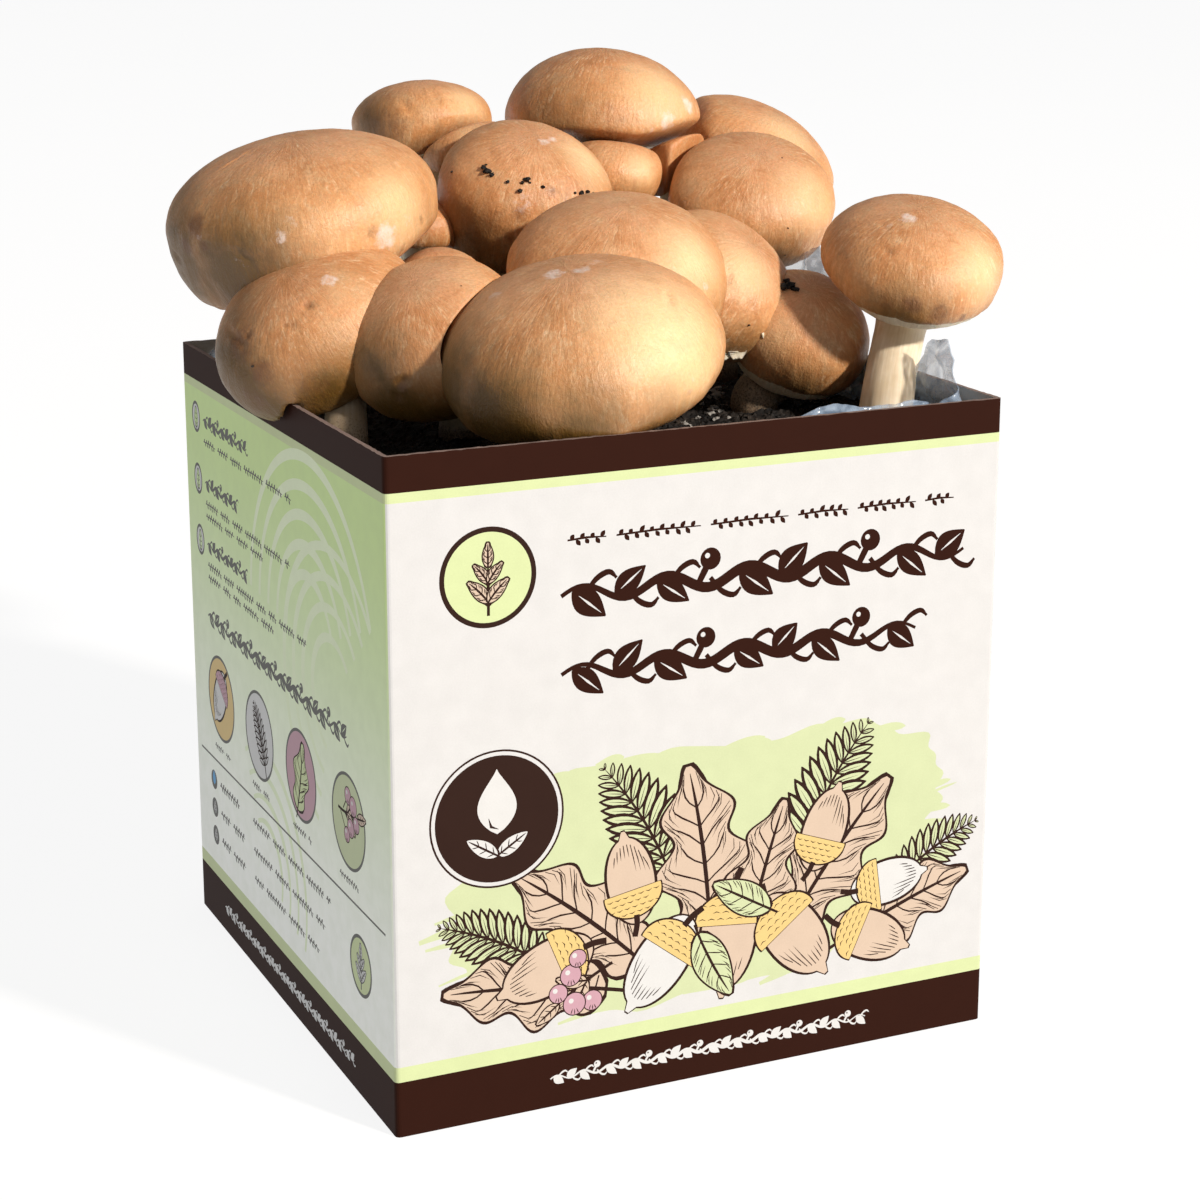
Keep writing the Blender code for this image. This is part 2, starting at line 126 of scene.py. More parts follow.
# Mushrooms: lengths in millimetres and angles in degrees, one row each
#   x, y, z: middle of the cap's widest ring; radius: of that ring
#   stretch: the ring's other half axis over radius, the long one turned by turn from +X
#   crown, hem: rise above and drop below the widest ring, over radius
#   lean, to: tilt of the cap's axis and the heading that it tilts to, from +X towards +Y
#   foot x, y: where the stem stands in the soil; thick: radius of the stem
#   edge: how far down the hem the brown skin reaches; tone: 0 pale to 1 dark
#   bare: how much sooner the skin ends on the side that faces left and forward
MUSHROOM_FIELDS = ("name", "x", "y", "z", "radius", "stretch", "turn", "crown", "hem",
                   "lean", "to", "foot_x", "foot_y", "thick", "edge", "tone", "bare")
MUSHROOM_ROWS = (
    ("left_large", -75.3, 33.0, 250.0, 43.2, 0.96, 0, 0.54, 0.53, 10, 195, -60, 46, 8.0, 1.25, 0.40, 0.00),
    ("left_front", -83.6, -0.9, 219.2, 32.0, 0.94, 0, 0.68, 0.46, 33, 203, -82, -21, 6.2, 1.25, 0.50, 0.00),
    ("front_left", -55.0, -26.3, 217.2, 28.0, 0.98, 0, 0.80, 0.47, 34, 219, -40, -10, 7, 1.25, 0.45, 0.00),
    ("front_large", -23, -60, 215, 43.4, 0.93, 0, 0.63, 0.29, 16, 222, -12, -54, 12, 1.05, 0.25, 0.00),
    ("middle_large", 10.1, -14.3, 229.5, 35.3, 0.96, 0, 0.72, 0.42, 19, 264, 10, 2, 10, 1.25, 0.35, 0.00),
    ("middle_right", 48.5, -7.9, 224.7, 26.0, 1.00, 0, 0.72, 0.54, 45, 300, 43, 12, 6.5, 0.95, 0.38, 0.10),
    ("low_right", 72.5, -18.5, 209, 22.5, 1.00, 0, 0.80, 0.55, 34, 262, 60, -12, 7, 0.48, 0.45, 0.16),
    ("right", 99.5, -41.7, 233.3, 29.5, 1.02, 0, 0.62, 0.37, 18, 259, 83.6, -55, 8.0, 0.54, 0.45, 0.16),
    ("right_back", 85, 40, 246, 28.8, 1.00, 0, 0.59, 0.52, 28, 262, 74, 48, 9, 1.25, 0.50, 0.00),
    ("far_right", 108, 80, 255, 29.4, 1.00, 0, 0.56, 0.42, 29, 318, 82, 78, 9, 1.25, 0.45, 0.00),
    ("top_large", 51, 87, 267, 34.8, 0.97, 0, 0.75, 0.30, 3, 359, 50, 83, 9, 1.25, 0.60, 0.00),
    ("back_left", -12, 95, 270, 24.2, 1.00, 0, 0.56, 0.60, 6, 90, -20, 84, 7.5, 1.25, 0.45, 0.00),
    ("centre", 3, 42, 252, 28.0, 1.02, 0, 0.69, 0.72, 26, 274, -2, 50, 8.5, 1.25, 0.45, 0.00),
    ("small_back", -4, 73, 263, 15.8, 0.85, 0, 0.58, 0.42, 9, 184, -38, 68, 5.5, 1.25, 0.45, 0.00),
    ("small_middle", 44, 60, 255, 17.2, 1.00, 0, 0.66, 0.43, 17, 300, 24, 68, 6, 1.25, 0.40, 0.00),
    ("behind_left", -30, 50, 240, 14.0, 1.00, 0, 0.66, 0.44, 6, 80, -31, 42, 5.5, 1.25, 0.95, 0.00),
    ("behind_right", 69, 66, 256.5, 15.5, 1.00, 0, 0.66, 0.80, 5, 100, 62, 63, 5, 1.25, 0.95, 0.00),
    ("small_left", -40, 12, 229, 15.4, 1.00, 0, 0.62, 0.42, 6, 221, -34, 18, 6, 1.25, 0.40, 0.00),
)
# The cap that hangs over the left wall, and the stem that stays lit, with no painted shade and no soil on it
OVERHANGING = "left_front"
STEM_WITHOUT_SHADE_OR_SOIL = "right"
MUSHROOMS = [dict(zip(MUSHROOM_FIELDS, row)) for row in MUSHROOM_ROWS]
CAP_CELL = 0.95 * MM
# Lengths of the dome and of the hem in section, over radius, which set their rows
DOME_RUN = 1.3
HEM_RUN = 0.55
CAP_SEED_STEP = 3.7
GRAIN_SHIFT = (0.131, 0.217, 0.173)
WELD = 0.01 * MM
HEM_TUCK = 0.24
VEIL_RISE = 0.12
WELL_DEPTH = 5 * MM
CAP_LUMP = 0.03
CONTACT_GAP = 0.35 * MM
CONTACT_SOFTNESS = 4 * MM
CONTACT_DIRECTIONS = 600
# Pairs where the first cap, grown behind, is dented by the second, which keeps its full round
YIELDING = (
    ("left_front", "front_left"), ("left_large", "left_front"), ("front_left", "front_large"),
    ("small_left", "front_left"), ("small_left", "left_front"), ("middle_large", "front_large"),
    ("middle_right", "middle_large"), ("low_right", "middle_right"), ("centre", "middle_large"),
    ("behind_left", "small_left"), ("behind_left", "centre"), ("small_middle", "centre"),
    ("left_large", "front_left"),
)
DENT_SCALE = 0.935
ROOM_REACH = 5 * MM
SKIN_STEP = 0.35 * MM
SKIN_END_RAGGED = 0.035
SKIN_END_FADE = 0.04
CUT_LIP = 0.35
FLAP_CELLS = 7
FLAP_THICKNESS = 0.35 * MM
FLAP_TUCK = 0.3 * MM
BARE_SIDE = radians(205)
STEM_TOP_FLARE = 1.12
STEM_FOOT_SWELL = 1.10
STEM_STEPS = 90
STEM_SIDES = 64

# Light; each lamp is its name, place, what it faces, side in metres, watts and colour
WORLD_STRENGTH = 0.30
FLOOR_GLOW = 0.88
FLOOR_HALF = 9.0
LAMPS = (
    ("key", (2.05, -3.95, 2.50), (0, 0, 0.2), 0.32, 375, "#FFF6EA"),
)

# Marks on the caps, by cap, each placed where the photograph's pixel falls on it
# Pale scuffs, a few of them painted glints: pixel x and y, radius in millimetres, strength
SCUFFS_AND_GLINTS = {
    "left_large": ((386, 236, 7.0, 1.0), (280, 238, 4.0, 0.8), (291, 220, 3.5, 0.6), (196, 236, 6.0, 0.5),
        (408, 219, 4.0, 0.7), (240, 262, 5.0, 0.5), (190, 160, 9.0, 0.3)),
    "left_front": ((329, 280, 4.5, 0.9), (300, 312, 4.0, 0.4), (275, 370, 6.0, 0.45),
        (345, 395, 6.0, 0.4)),
    "front_large": ((553, 274, 5.5, 1.0), (581, 270, 5.0, 0.9), (495, 295, 5.0, 0.7),
        (600, 262, 7.0, 0.6), (530, 280, 6.0, 0.4), (690, 385, 7.0, 0.5), (660, 405, 8.0, 0.4)),
    "middle_large": ((706, 286, 3.0, 0.7),),
    "middle_right": ((753, 300, 8.0, 0.4),),
    "right": ((909, 218, 4.5, 1.0), (885, 226, 6.0, 0.5), (930, 206, 7.0, 0.3)),
    "right_back": ((795, 203, 4.0, 0.5),),
    "top_large": ((688, 105, 6.0, 1.0), (668, 122, 6.0, 0.9), (648, 130, 5.0, 0.6)),
    "back_left": ((420, 130, 8.0, 0.35), (470, 120, 6.0, 0.3)),
    "centre": ((545, 142, 3.5, 1.0), (552, 139, 3.0, 0.9), (520, 202, 8.0, 0.6), (562, 205, 7.0, 0.5)),
}
# Brown stains: pixel x and y, radius in millimetres, strength
STAINS = {
    "left_large": ((195, 226, 6.0, 1.0), (186, 246, 5.0, 0.9), (374, 232, 4.0, 0.7), (204, 247, 3.5, 0.8),
        (401, 250, 4.0, 0.6), (421, 219, 2.5, 0.9)),
    "left_front": ((240, 345, 9.0, 0.8), (262, 372, 6.0, 0.9), (255, 400, 7.0, 0.7), (315, 385, 9.0, 0.5),
        (253, 365, 1.5, 1.0)),
    "front_left": ((402, 387, 3.0, 0.8), (400, 400, 4.0, 0.6), (445, 395, 8.0, 0.3)),
    "front_large": ((545, 395, 8.0, 0.3), (690, 392, 2.5, 0.5)),
    "middle_right": ((745, 335, 6.0, 0.4),),
    "low_right": ((790, 370, 9.0, 0.3),),
    "right": ((912, 306, 5.0, 0.9), (940, 312, 6.0, 0.8), (962, 318, 3.0, 0.9), (888, 300, 6.0, 0.5)),
    "top_large": ((560, 118, 14.0, 0.35), (620, 112, 12.0, 0.4)),
    "back_left": ((395, 125, 7.0, 0.5), (380, 115, 7.0, 0.4)),
    "centre": ((520, 215, 4.5, 0.8), (497, 215, 3.5, 0.6), (509, 240, 3.0, 0.6), (552, 190, 3.0, 0.7)),
}
# Olive bruises low on the caps, spread and darkened as painted shade on the lower hems: pixel x and y, radius
# in millimetres, strength
OLIVES_AND_SHADE = {
    "left_large": ((180, 262, 21.2, 1.0), (235, 276, 25.0, 0.9), (172, 215, 15.0, 0.5)),
    "left_front": ((222, 370, 17.5, 1.0), (245, 402, 22.5, 1.0), (330, 400, 20.0, 0.8),
        (232, 330, 15.0, 0.5)),
    "front_left": ((372, 370, 17.5, 0.7), (400, 410, 20.0, 0.9), (445, 418, 17.5, 0.8)),
    "front_large": ((448, 390, 20.0, 0.9), (500, 432, 25.0, 1.0), (580, 436, 20.0, 0.8),
        (650, 428, 15.0, 0.5)),
    "middle_right": ((745, 350, 11.2, 0.4),),
    "low_right": ((800, 392, 12.5, 0.6),),
    "right": ((905, 316, 15.0, 0.6),),
    "right_back": ((780, 262, 15.0, 0.5),),
    "top_large": ((560, 135, 20.0, 0.5),),
    "back_left": ((368, 120, 12.5, 0.6),),
    "centre": ((470, 235, 15.0, 0.6),),
}
# Painted highlights, cream patches where the light falls full on a cap: pixel x and y, radius in millimetres,
# strength
PAINTED_HIGHLIGHTS = {
    "left_large": ((402, 212, 18.0, 0.8), (335, 240, 20.0, 0.35)),
    "left_front": ((345, 285, 12.0, 0.35),),
    "front_left": ((470, 275, 11.0, 0.3),),
    "front_large": ((665, 325, 27.0, 1.0), (692, 362, 18.0, 0.7), (600, 300, 16.0, 0.3)),
    "middle_large": ((692, 258, 17.0, 0.9),),
    "middle_right": ((745, 268, 13.0, 0.8),),
    "low_right": ((772, 335, 11.0, 0.5),),
    "right": ((985, 268, 14.0, 0.9),),
    "right_back": ((806, 196, 16.0, 0.7),),
    "far_right": ((790, 135, 16.0, 0.7),),
    "top_large": ((662, 92, 19.0, 0.8),),
    "back_left": ((468, 102, 11.0, 0.7),),
    "centre": ((586, 158, 13.0, 0.9),),
    "small_back": ((472, 138, 8.0, 0.5),),
    "small_middle": ((642, 168, 9.0, 0.7),),
}
# The marks by the attribute that the skin reads, each fading between two shares of its radius
MARKS = (("scuff", SCUFFS_AND_GLINTS, (0.2, 1.15)), ("stain", STAINS, (0.2, 1.15)), ("olive", OLIVES_AND_SHADE, (0.0, 1.4)),
         ("pale", PAINTED_HIGHLIGHTS, (0.0, 1.4)))
# Cuts pressed into the skin: pixel x and y of both ends, width in millimetres, depth in millimetres
CUTS = {
    "left_large": ((222, 168, 240, 158, 0.9, 0.5), (243, 155, 250, 151, 0.9, 0.4),
        (172, 250, 182, 262, 1.2, 0.6), (236, 250, 252, 262, 1.0, 0.5)),
    "left_front": ((302, 306, 312, 304, 1.6, 1.0), (280, 326, 296, 325, 1.4, 0.8),
        (228, 328, 246, 346, 1.2, 0.6), (245, 336, 250, 334, 1.0, 0.8)),
    "front_left": ((397, 386, 408, 378, 1.4, 0.8), (395, 392, 399, 400, 1.4, 0.8)),
    "front_large": ((668, 290, 672, 306, 1.6, 0.6),),
    "middle_right": ((722, 262, 728, 290, 2.4, 1.0),),
    "right": ((882, 250, 893, 254, 1.2, 0.6), (896, 255, 925, 262, 1.0, 0.35),
        (878, 222, 890, 230, 1.0, 0.4)),
    "top_large": ((600, 66, 640, 70, 1.6, 0.3),),
    "back_left": ((432, 92, 440, 104, 1.2, 0.5), (448, 96, 455, 104, 1.2, 0.5),
        (400, 100, 412, 112, 1.4, 0.5)),
    "centre": ((506, 236, 513, 246, 1.6, 0.9),),
}
# Crumbs of soil: pixel x and y, size in millimetres
SKIN_CRUMBS = {
    "left_front": ((253, 366, 0.9),),
    "front_left": ((461, 286, 0.4),),
    "middle_right": ((704, 234, 0.6), (749, 325, 0.8)),
    "low_right": ((780, 284, 2.6), (784, 288, 3.2), (790, 287, 3.4), (787, 282, 2.2), (795, 290, 2.2),
        (780, 291, 1.2)),
    "right_back": ((788, 228, 0.6), (782, 158, 0.5), (785, 255, 0.5)),
    "centre": ((484, 168, 1.9), (487, 172, 2.4), (492, 175, 1.7), (486, 165, 0.9), (452, 172, 0.8),
        (508, 182, 1.3), (522, 183, 1.4), (527, 180, 1.9), (530, 183, 0.8), (520, 191, 1.7),
        (543, 187, 1.3), (575, 193, 1.0), (581, 193, 1.7), (587, 192, 1.5), (593, 193, 0.8)),
}
# Flaps of torn veil at a margin: pixel x and y, width and drop in millimetres
VEIL_FLAPS = {
    "middle_right": ((768, 332, 6.0, 2.6), (738, 351, 6.5, 2.4), (727, 353, 4.5, 2.0)),
}
# Clumps of mycelium on the soil: the photograph's pixel, and size in millimetres
MYCELIUM = (
    (712, 392, 3.3), (718, 389, 2.4), (716, 397, 3.9), (722, 394, 2.1), (709, 398, 2.0), (714, 409, 3.6),
    (720, 412, 2.7), (711, 415, 3.0), (724, 406, 2.1), (716, 419, 2.0), (685, 424, 2.7), (690, 427, 2.1),
    (734, 404, 1.8), (742, 396, 2.2), (728, 418, 1.7), (702, 404, 1.8), (698, 418, 2.0), (736, 388, 1.5),
)


def per(millimetres):
    """A pattern's scale for a feature of this real size."""
    return 1.0 / (millimetres * MM)


def colour(code):
    """A linear colour from an sRGB hex code."""
    parts = [int(code[at:at + 2], 16) / 255 for at in (1, 3, 5)]
    return (*[part / 12.92 if part <= 0.04045 else ((part + 0.055) / 1.055) ** 2.4 for part in parts], 1.0)


def add(tree, kind, inputs=(), out=0, **settings):
    """Adds a node with its settings, sets or links its inputs, and returns one of its outputs. Inputs go by
    name or by number: a Mix node's two values are 2 and 3, and its two colours 6 and 7."""
    made = tree.nodes.new(kind)
    for name, value in settings.items():
        setattr(made, name, value)
    for key, value in dict(inputs).items():
        if isinstance(value, bpy.types.NodeSocket):
            tree.links.new(value, made.inputs[key])
        else:
            made.inputs[key].default_value = value
    return made.outputs[out]


def surface(name):
    """A new material, its empty node tree, and the Object coordinates that its patterns are read at."""
    made = bpy.data.materials.new(name)
    made.use_nodes = True
    made.node_tree.nodes.clear()
    return made, made.node_tree, add(made.node_tree, "ShaderNodeTexCoord", out=3)


def finish_surface(tree, **inputs):
    """Ends a material's tree in a Principled BSDF with these inputs, underscores standing for spaces."""
    named = {name.replace("_", " "): value for name, value in inputs.items()}
    shader = add(tree, "ShaderNodeBsdfPrincipled", named)
    tree.links.new(shader, tree.nodes.new("ShaderNodeOutputMaterial").inputs["Surface"])


def smooth(value, low, high):
    """0 below low, 1 above high, and a soft curve between."""
    share = np.clip((value - low) / (high - low), 0, 1)
    return share * share * (3 - 2 * share)


def set_floats(mesh, name, values, kind="FLOAT"):
    """Stores one value, or one vector, for each of a mesh's vertices."""
    made = mesh.attributes.get(name) or mesh.attributes.new(name, kind, "POINT")
    made.data.foreach_set("value" if kind == "FLOAT" else "vector", np.asarray(values, np.float32).ravel())


def points_of(mesh):
    """A mesh's vertices as rows of an array."""
    places = np.empty(len(mesh.vertices) * 3)
    mesh.vertices.foreach_get("co", places)
    return places.reshape(-1, 3)


def shown(name, mesh, material, stands_for=()):
    if material is not None:
        mesh.materials.clear()
        mesh.materials.append(material)
    piece = bpy.data.objects.new(name, mesh)
    bpy.context.scene.collection.objects.link(piece)
    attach(piece, "root")
    if stands_for:
        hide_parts(*stands_for)
    return piece


def grid_mesh(name, places, rows, columns, close_columns=False):
    """A mesh of quads over rows of points, each row closed into a ring if asked."""
    count = columns if close_columns else columns - 1
    at = np.arange(rows - 1)[:, None] * columns + np.arange(count)[None, :]
    beside = np.arange(rows - 1)[:, None] * columns + (np.arange(count) + 1)[None, :] % columns
    faces = np.stack([at, beside, beside + columns, at + columns], axis=2).reshape(-1, 4)
    mesh = bpy.data.meshes.new(name)
    mesh.from_pydata(places.reshape(-1, 3).tolist(), [], faces.tolist())
    return mesh


def solid_mesh(mesh, weld):
    """The same mesh with its doubles merged and its faces turned outwards."""
    bm = bmesh.new()
    bm.from_mesh(mesh)
    bmesh.ops.remove_doubles(bm, verts=bm.verts, dist=weld)
    bmesh.ops.recalc_face_normals(bm, faces=bm.faces)
    bm.to_mesh(mesh)
    bm.free()
    return mesh


def mesh_of(bm, name):
    """A new mesh with what a bmesh holds, which is then freed."""
    mesh = bpy.data.meshes.new(name)
    bm.to_mesh(mesh)
    bm.free()
    return mesh


def grow_nodes(name, inputs):
    """A geometry node tree and its inputs, each named, with its first value, or None for a material."""
    tree = bpy.data.node_groups.new(name, "GeometryNodeTree")
    tree.interface.new_socket("Geometry", in_out="OUTPUT", socket_type="NodeSocketGeometry")
    tree.interface.new_socket("Geometry", in_out="INPUT", socket_type="NodeSocketGeometry")
    kinds = {float: "NodeSocketFloat", int: "NodeSocketInt", type(None): "NodeSocketMaterial"}
    for label, value in inputs.items():
        made = tree.interface.new_socket(label, in_out="INPUT", socket_type=kinds[type(value)])
        if value is not None:
            made.default_value = value
    return tree, tree.nodes.new("NodeGroupInput").outputs


def noise_relief(tree, given, parts):
    """A height that adds up noises, each read at a source, with the named inputs for its size and height, and
    with a weight."""
    total = 0.0
    for source, size, height, weight in parts:
        scale = add(tree, "ShaderNodeMath", {0: 1.0, 1: given[size]}, operation="DIVIDE")
        field = add(tree, "ShaderNodeTexNoise", {"Vector": source, "W": given["Seed"], "Scale": scale,
                                                 "Detail": 2.0}, noise_dimensions="4D")
        centred = add(tree, "ShaderNodeMath", {0: field, 1: 0.5}, operation="SUBTRACT")
        raised = add(tree, "ShaderNodeMath", {0: centred, 1: given[height]}, operation="MULTIPLY")
        total = add(tree, "ShaderNodeMath", {0: raised, 1: weight, 2: total}, operation="MULTIPLY_ADD")
    return total


def end_nodes(tree, shape, material):
    """Ends a geometry node tree in Realize Instances and Set Material."""
    real = add(tree, "GeometryNodeRealizeInstances", {"Geometry": shape})
    finished = add(tree, "GeometryNodeSetMaterial", {"Geometry": real, "Material": material})
    tree.nodes.new("NodeGroupOutput")
    tree.links.new(finished, tree.nodes["Group Output"].inputs[0])


def run_nodes(data, tree, values):
    """The plain mesh that a geometry node tree makes from a mesh or a curve, its inputs set by name."""
    holder = bpy.data.objects.new("holder", data)
    bpy.context.scene.collection.objects.link(holder)
    step = holder.modifiers.new("nodes", "NODES")
    step.node_group = tree
    sockets = {item.name: item.identifier for item in tree.interface.items_tree if item.in_out == "INPUT"}
    for name, value in values.items():
        step[sockets[name]] = value
    graph = bpy.context.evaluated_depsgraph_get()
    mesh = bpy.data.meshes.new_from_object(holder.evaluated_get(graph), preserve_all_data_layers=True,
                                           depsgraph=graph)
    bpy.data.objects.remove(holder)
    return mesh


def cap_skin_material():
    """Mushroom skin, grown and dry: fine fibrils over paler flesh, so granules all over, short flecks in
    patches, soft streaks towards the margin and a broad satin sheen. Torn veil is cottony and cream. Painted
    into the colour: shade on the hem and in the olive marks, highlights in the cream patches, a sky
    reflection at the crown and glints among the scuffs."""
    made, tree, place = surface("mushroom_cap_skin")
    grain = add(tree, "ShaderNodeAttribute", out=1, attribute_name="grain")
    reach, veil, tone, scuff, stain, olive, pale = (
        add(tree, "ShaderNodeAttribute", out=2, attribute_name=name)
        for name in ("reach", "veil", "tone", "scuff", "stain", "olive", "pale"))
    short, long = (add(tree, "ShaderNodeMapping", {"Vector": grain, "Scale": (1.0, 1.0, drawn_out)})
                   for drawn_out in (0.42, 0.2))
    # Each noise: where it is read, the size of its features in millimetres, detail, roughness, distortion
    broad, cloud, ragged, granule, fleck, streak, swath = (
        add(tree, "ShaderNodeTexNoise", {"Vector": where, "Scale": per(size), "Detail": detail,
                                         "Roughness": roughness, "Distortion": distortion})
        for where, size, detail, roughness, distortion in (
            (place, 22, 3.0, 0.5, 0.0), (place, 7, 5.0, 0.6, 0.5), (place, 2.6, 6.0, 0.7, 0.0),
            (place, 0.9, 3.0, 0.6, 0.0), (short, 1.7, 4.0, 0.65, 0.8), (long, 1.5, 5.0, 0.65, 0.6),
            (long, 6.0, 3.0, 0.5, 0.5)))

    # Marks have ragged edges: a noise times its weight is added to each
    painted_highlight, olive_and_shade, blot, scuff_and_glint, torn = (
        add(tree, "ShaderNodeMath", {0: source, 1: weight, 2: mark}, operation="MULTIPLY_ADD")
        for source, weight, mark in ((fleck, 0.5, pale), (cloud, 0.6, olive), (ragged, 1.6, stain),
                                     (ragged, 1.8, scuff), (ragged, 1.0, veil)))
    # The hem's darker brown is partly the margin's own colour and partly painted shade under the cap
    crown, hem = (
        add(tree, "ShaderNodeMapRange", {0: reach, 1: low, 2: high}, interpolation_type="SMOOTHSTEP")
        for low, high in ((0.1, 0.9), (1.0, 1.75)))
    # Each share: its source, the source's two ends, and the share at each end
    share = {name: add(tree, "ShaderNodeMapRange", dict(enumerate(ends))) for name, ends in {
        "mottle": (broad, 0.35, 0.70, 0.0, 0.80), "pale cloud": (cloud, 0.50, 0.72, 0.0, 0.40),
        "dark cloud": (cloud, 0.48, 0.28, 0.0, 0.60), "fleck zone": (broad, 0.42, 0.62, 0.16, 0.62),
        "dark fleck": (fleck, 0.52, 0.70, 0.0, 1.0), "light fleck": (fleck, 0.47, 0.30, 0.0, 1.0),
        "streak zone": (reach, 0.6, 1.3, 0.0, 0.45), "streak": (streak, 0.50, 0.72, 0.0, 1.0),
        "swath zone": (reach, 0.7, 1.4, 0.0, 0.55), "swath": (swath, 0.50, 0.30, 0.0, 1.0),
        # painted_highlight: cream patches painted where the light falls full on a cap
        "grit": (granule, 0.35, 0.65, 0.42, 0.0), "painted_highlight": (painted_highlight, 0.40, 1.25, 0.0, 0.50),
        # olive_and_shade: olive bruises, and painted shade on the lower hems
        "olive_and_shade": (olive_and_shade, 0.26, 1.05, 0.0, 0.97), "blot": (blot, 1.15, 1.75, 0.0, 0.62),
        # scuff_and_glint: pale scuffed skin, in a few places a painted glint
        "scuff_and_glint": (scuff_and_glint, 1.45, 1.95, 0.0, 0.75), "torn": (torn, 0.92, 1.05, 0.0, 1.0),
        "gloss": (cloud, 0.3, 0.7, 0.40, 0.54)}.items()}
    depth, dark_flecks, light_flecks, streaks, swaths = (
        add(tree, "ShaderNodeMath", {0: first, 1: second}, operation="MULTIPLY")
        for first, second in ((tone, 0.5), (share["dark fleck"], share["fleck zone"]),
                              (share["light fleck"], share["fleck zone"]),
                              (share["streak"], share["streak zone"]), (share["swath"], share["swath zone"])))
    # The skin's colour is laid on from below: how much of each coat, and its colour
    # The base colour stays at the crown, pinker where it faces the sky, partly a painted reflection; the
    # crown cover turns the sides more orange
    skin = colour("#E0AC84")
    for cover, shade in (
            (crown, "#E6AE76"), (hem, "#8F6633"), (share["mottle"], "#C48A58"), (depth, "#AE6230"),
            (share["pale cloud"], "#EFCBA0"), (share["dark cloud"], "#A96C3A"), (dark_flecks, "#9C6639"),
            (light_flecks, "#F2D6B0"), (streaks, "#F0D3A8"), (swaths, "#8F6035"), (share["grit"], "#A87649"),
            (share["painted_highlight"], "#FBE3B4"), (share["olive_and_shade"], "#5E4212"), (share["blot"], "#623A1E"),
            (share["scuff_and_glint"], "#DDCCC4")):
        skin = add(tree, "ShaderNodeMix", {0: cover, 6: skin, 7: colour(shade)}, 2, data_type="RGBA")
    cotton = add(tree, "ShaderNodeMix", {0: streak, 6: colour("#C4AE8B"), 7: colour("#EFE5D0")}, 2,
                 data_type="RGBA")
    whole = add(tree, "ShaderNodeMix", {0: share["torn"], 6: skin, 7: cotton}, 2, data_type="RGBA")

    matt = add(tree, "ShaderNodeMath", {0: share["scuff_and_glint"], 1: share["torn"]}, operation="MAXIMUM")
    roughness = add(tree, "ShaderNodeMix", {0: matt, 2: share["gloss"], 3: 0.7}, 0)
    ripple = add(tree, "ShaderNodeMath", {0: streak, 1: fleck}, operation="ADD")
    relief = add(tree, "ShaderNodeMath", {0: granule, 1: 0.8, 2: ripple}, operation="MULTIPLY_ADD")
    normal = add(tree, "ShaderNodeBump", {"Strength": 0.7, "Distance": 0.32 * MM, "Height": relief})
    finish_surface(tree, Base_Color=whole, Roughness=roughness, IOR=1.45, Specular_IOR_Level=0.6,
                   Subsurface_Weight=0.2, Subsurface_Radius=(1.0, 0.5, 0.28), Subsurface_Scale=2.5 * MM,
                   Normal=normal)
    return made


def stem_flesh_material():
    """Mushroom stem, grown: pale cream flesh with long fibres, matt, and a little soil near the foot.
    Darker brown towards the foot is painted shade, on every stem but the lit one.
    """
    made, tree, place = surface("mushroom_stem_flesh")
    grain = add(tree, "ShaderNodeAttribute", out=1, attribute_name="grain")
    foot, shade_and_soil = (add(tree, "ShaderNodeAttribute", out=2, attribute_name=name)
                    for name in ("foot", "shade_and_soil"))
    drawn = add(tree, "ShaderNodeMapping", {"Vector": grain, "Scale": (1.0, 1.0, 0.08)})
    fibre, broad, speck = (
        add(tree, "ShaderNodeTexNoise", {"Vector": where, "Scale": per(size), "Detail": detail})
        for where, size, detail in ((drawn, 0.9, 4.0), (place, 9, 3.0), (place, 0.6, 5.0)))
    near_soil = add(tree, "ShaderNodeMapRange", {0: foot, 1: 15 * MM, 2: 6 * MM, 3: 0.12, 4: 0.52})
    dirt = add(tree, "ShaderNodeMath", {0: near_soil, 1: speck}, operation="ADD")
    aged, low, dirty = (add(tree, "ShaderNodeMapRange", dict(enumerate(ends))) for ends in (
        (broad, 0.45, 0.75, 0.0, 0.5), (foot, 26 * MM, 6 * MM, 0.0, 0.85), (dirt, 0.72, 1.02, 0.0, 0.85)))
    # shade_and_soil is 1 on stems that take painted shade near the foot and soil specks, 0 on the lit stem
    painted_shade_foot, soiled = (add(tree, "ShaderNodeMath", {0: share, 1: shade_and_soil}, operation="MULTIPLY")
                       for share in (low, dirty))
    flesh = colour("#BDAA8C")
    for cover, shade in ((fibre, "#EADFCC"), (aged, "#B3986F"), (painted_shade_foot, "#6A4F35"), (soiled, "#35261B")):
        flesh = add(tree, "ShaderNodeMix", {0: cover, 6: flesh, 7: colour(shade)}, 2, data_type="RGBA")
    normal = add(tree, "ShaderNodeBump", {"Strength": 0.5, "Distance": 0.2 * MM, "Height": fibre})
    finish_surface(tree, Base_Color=flesh, Roughness=0.62, IOR=1.4, Subsurface_Weight=0.3,
                   Subsurface_Radius=(1.0, 0.7, 0.45), Subsurface_Scale=2.5 * MM, Normal=normal)
    return made


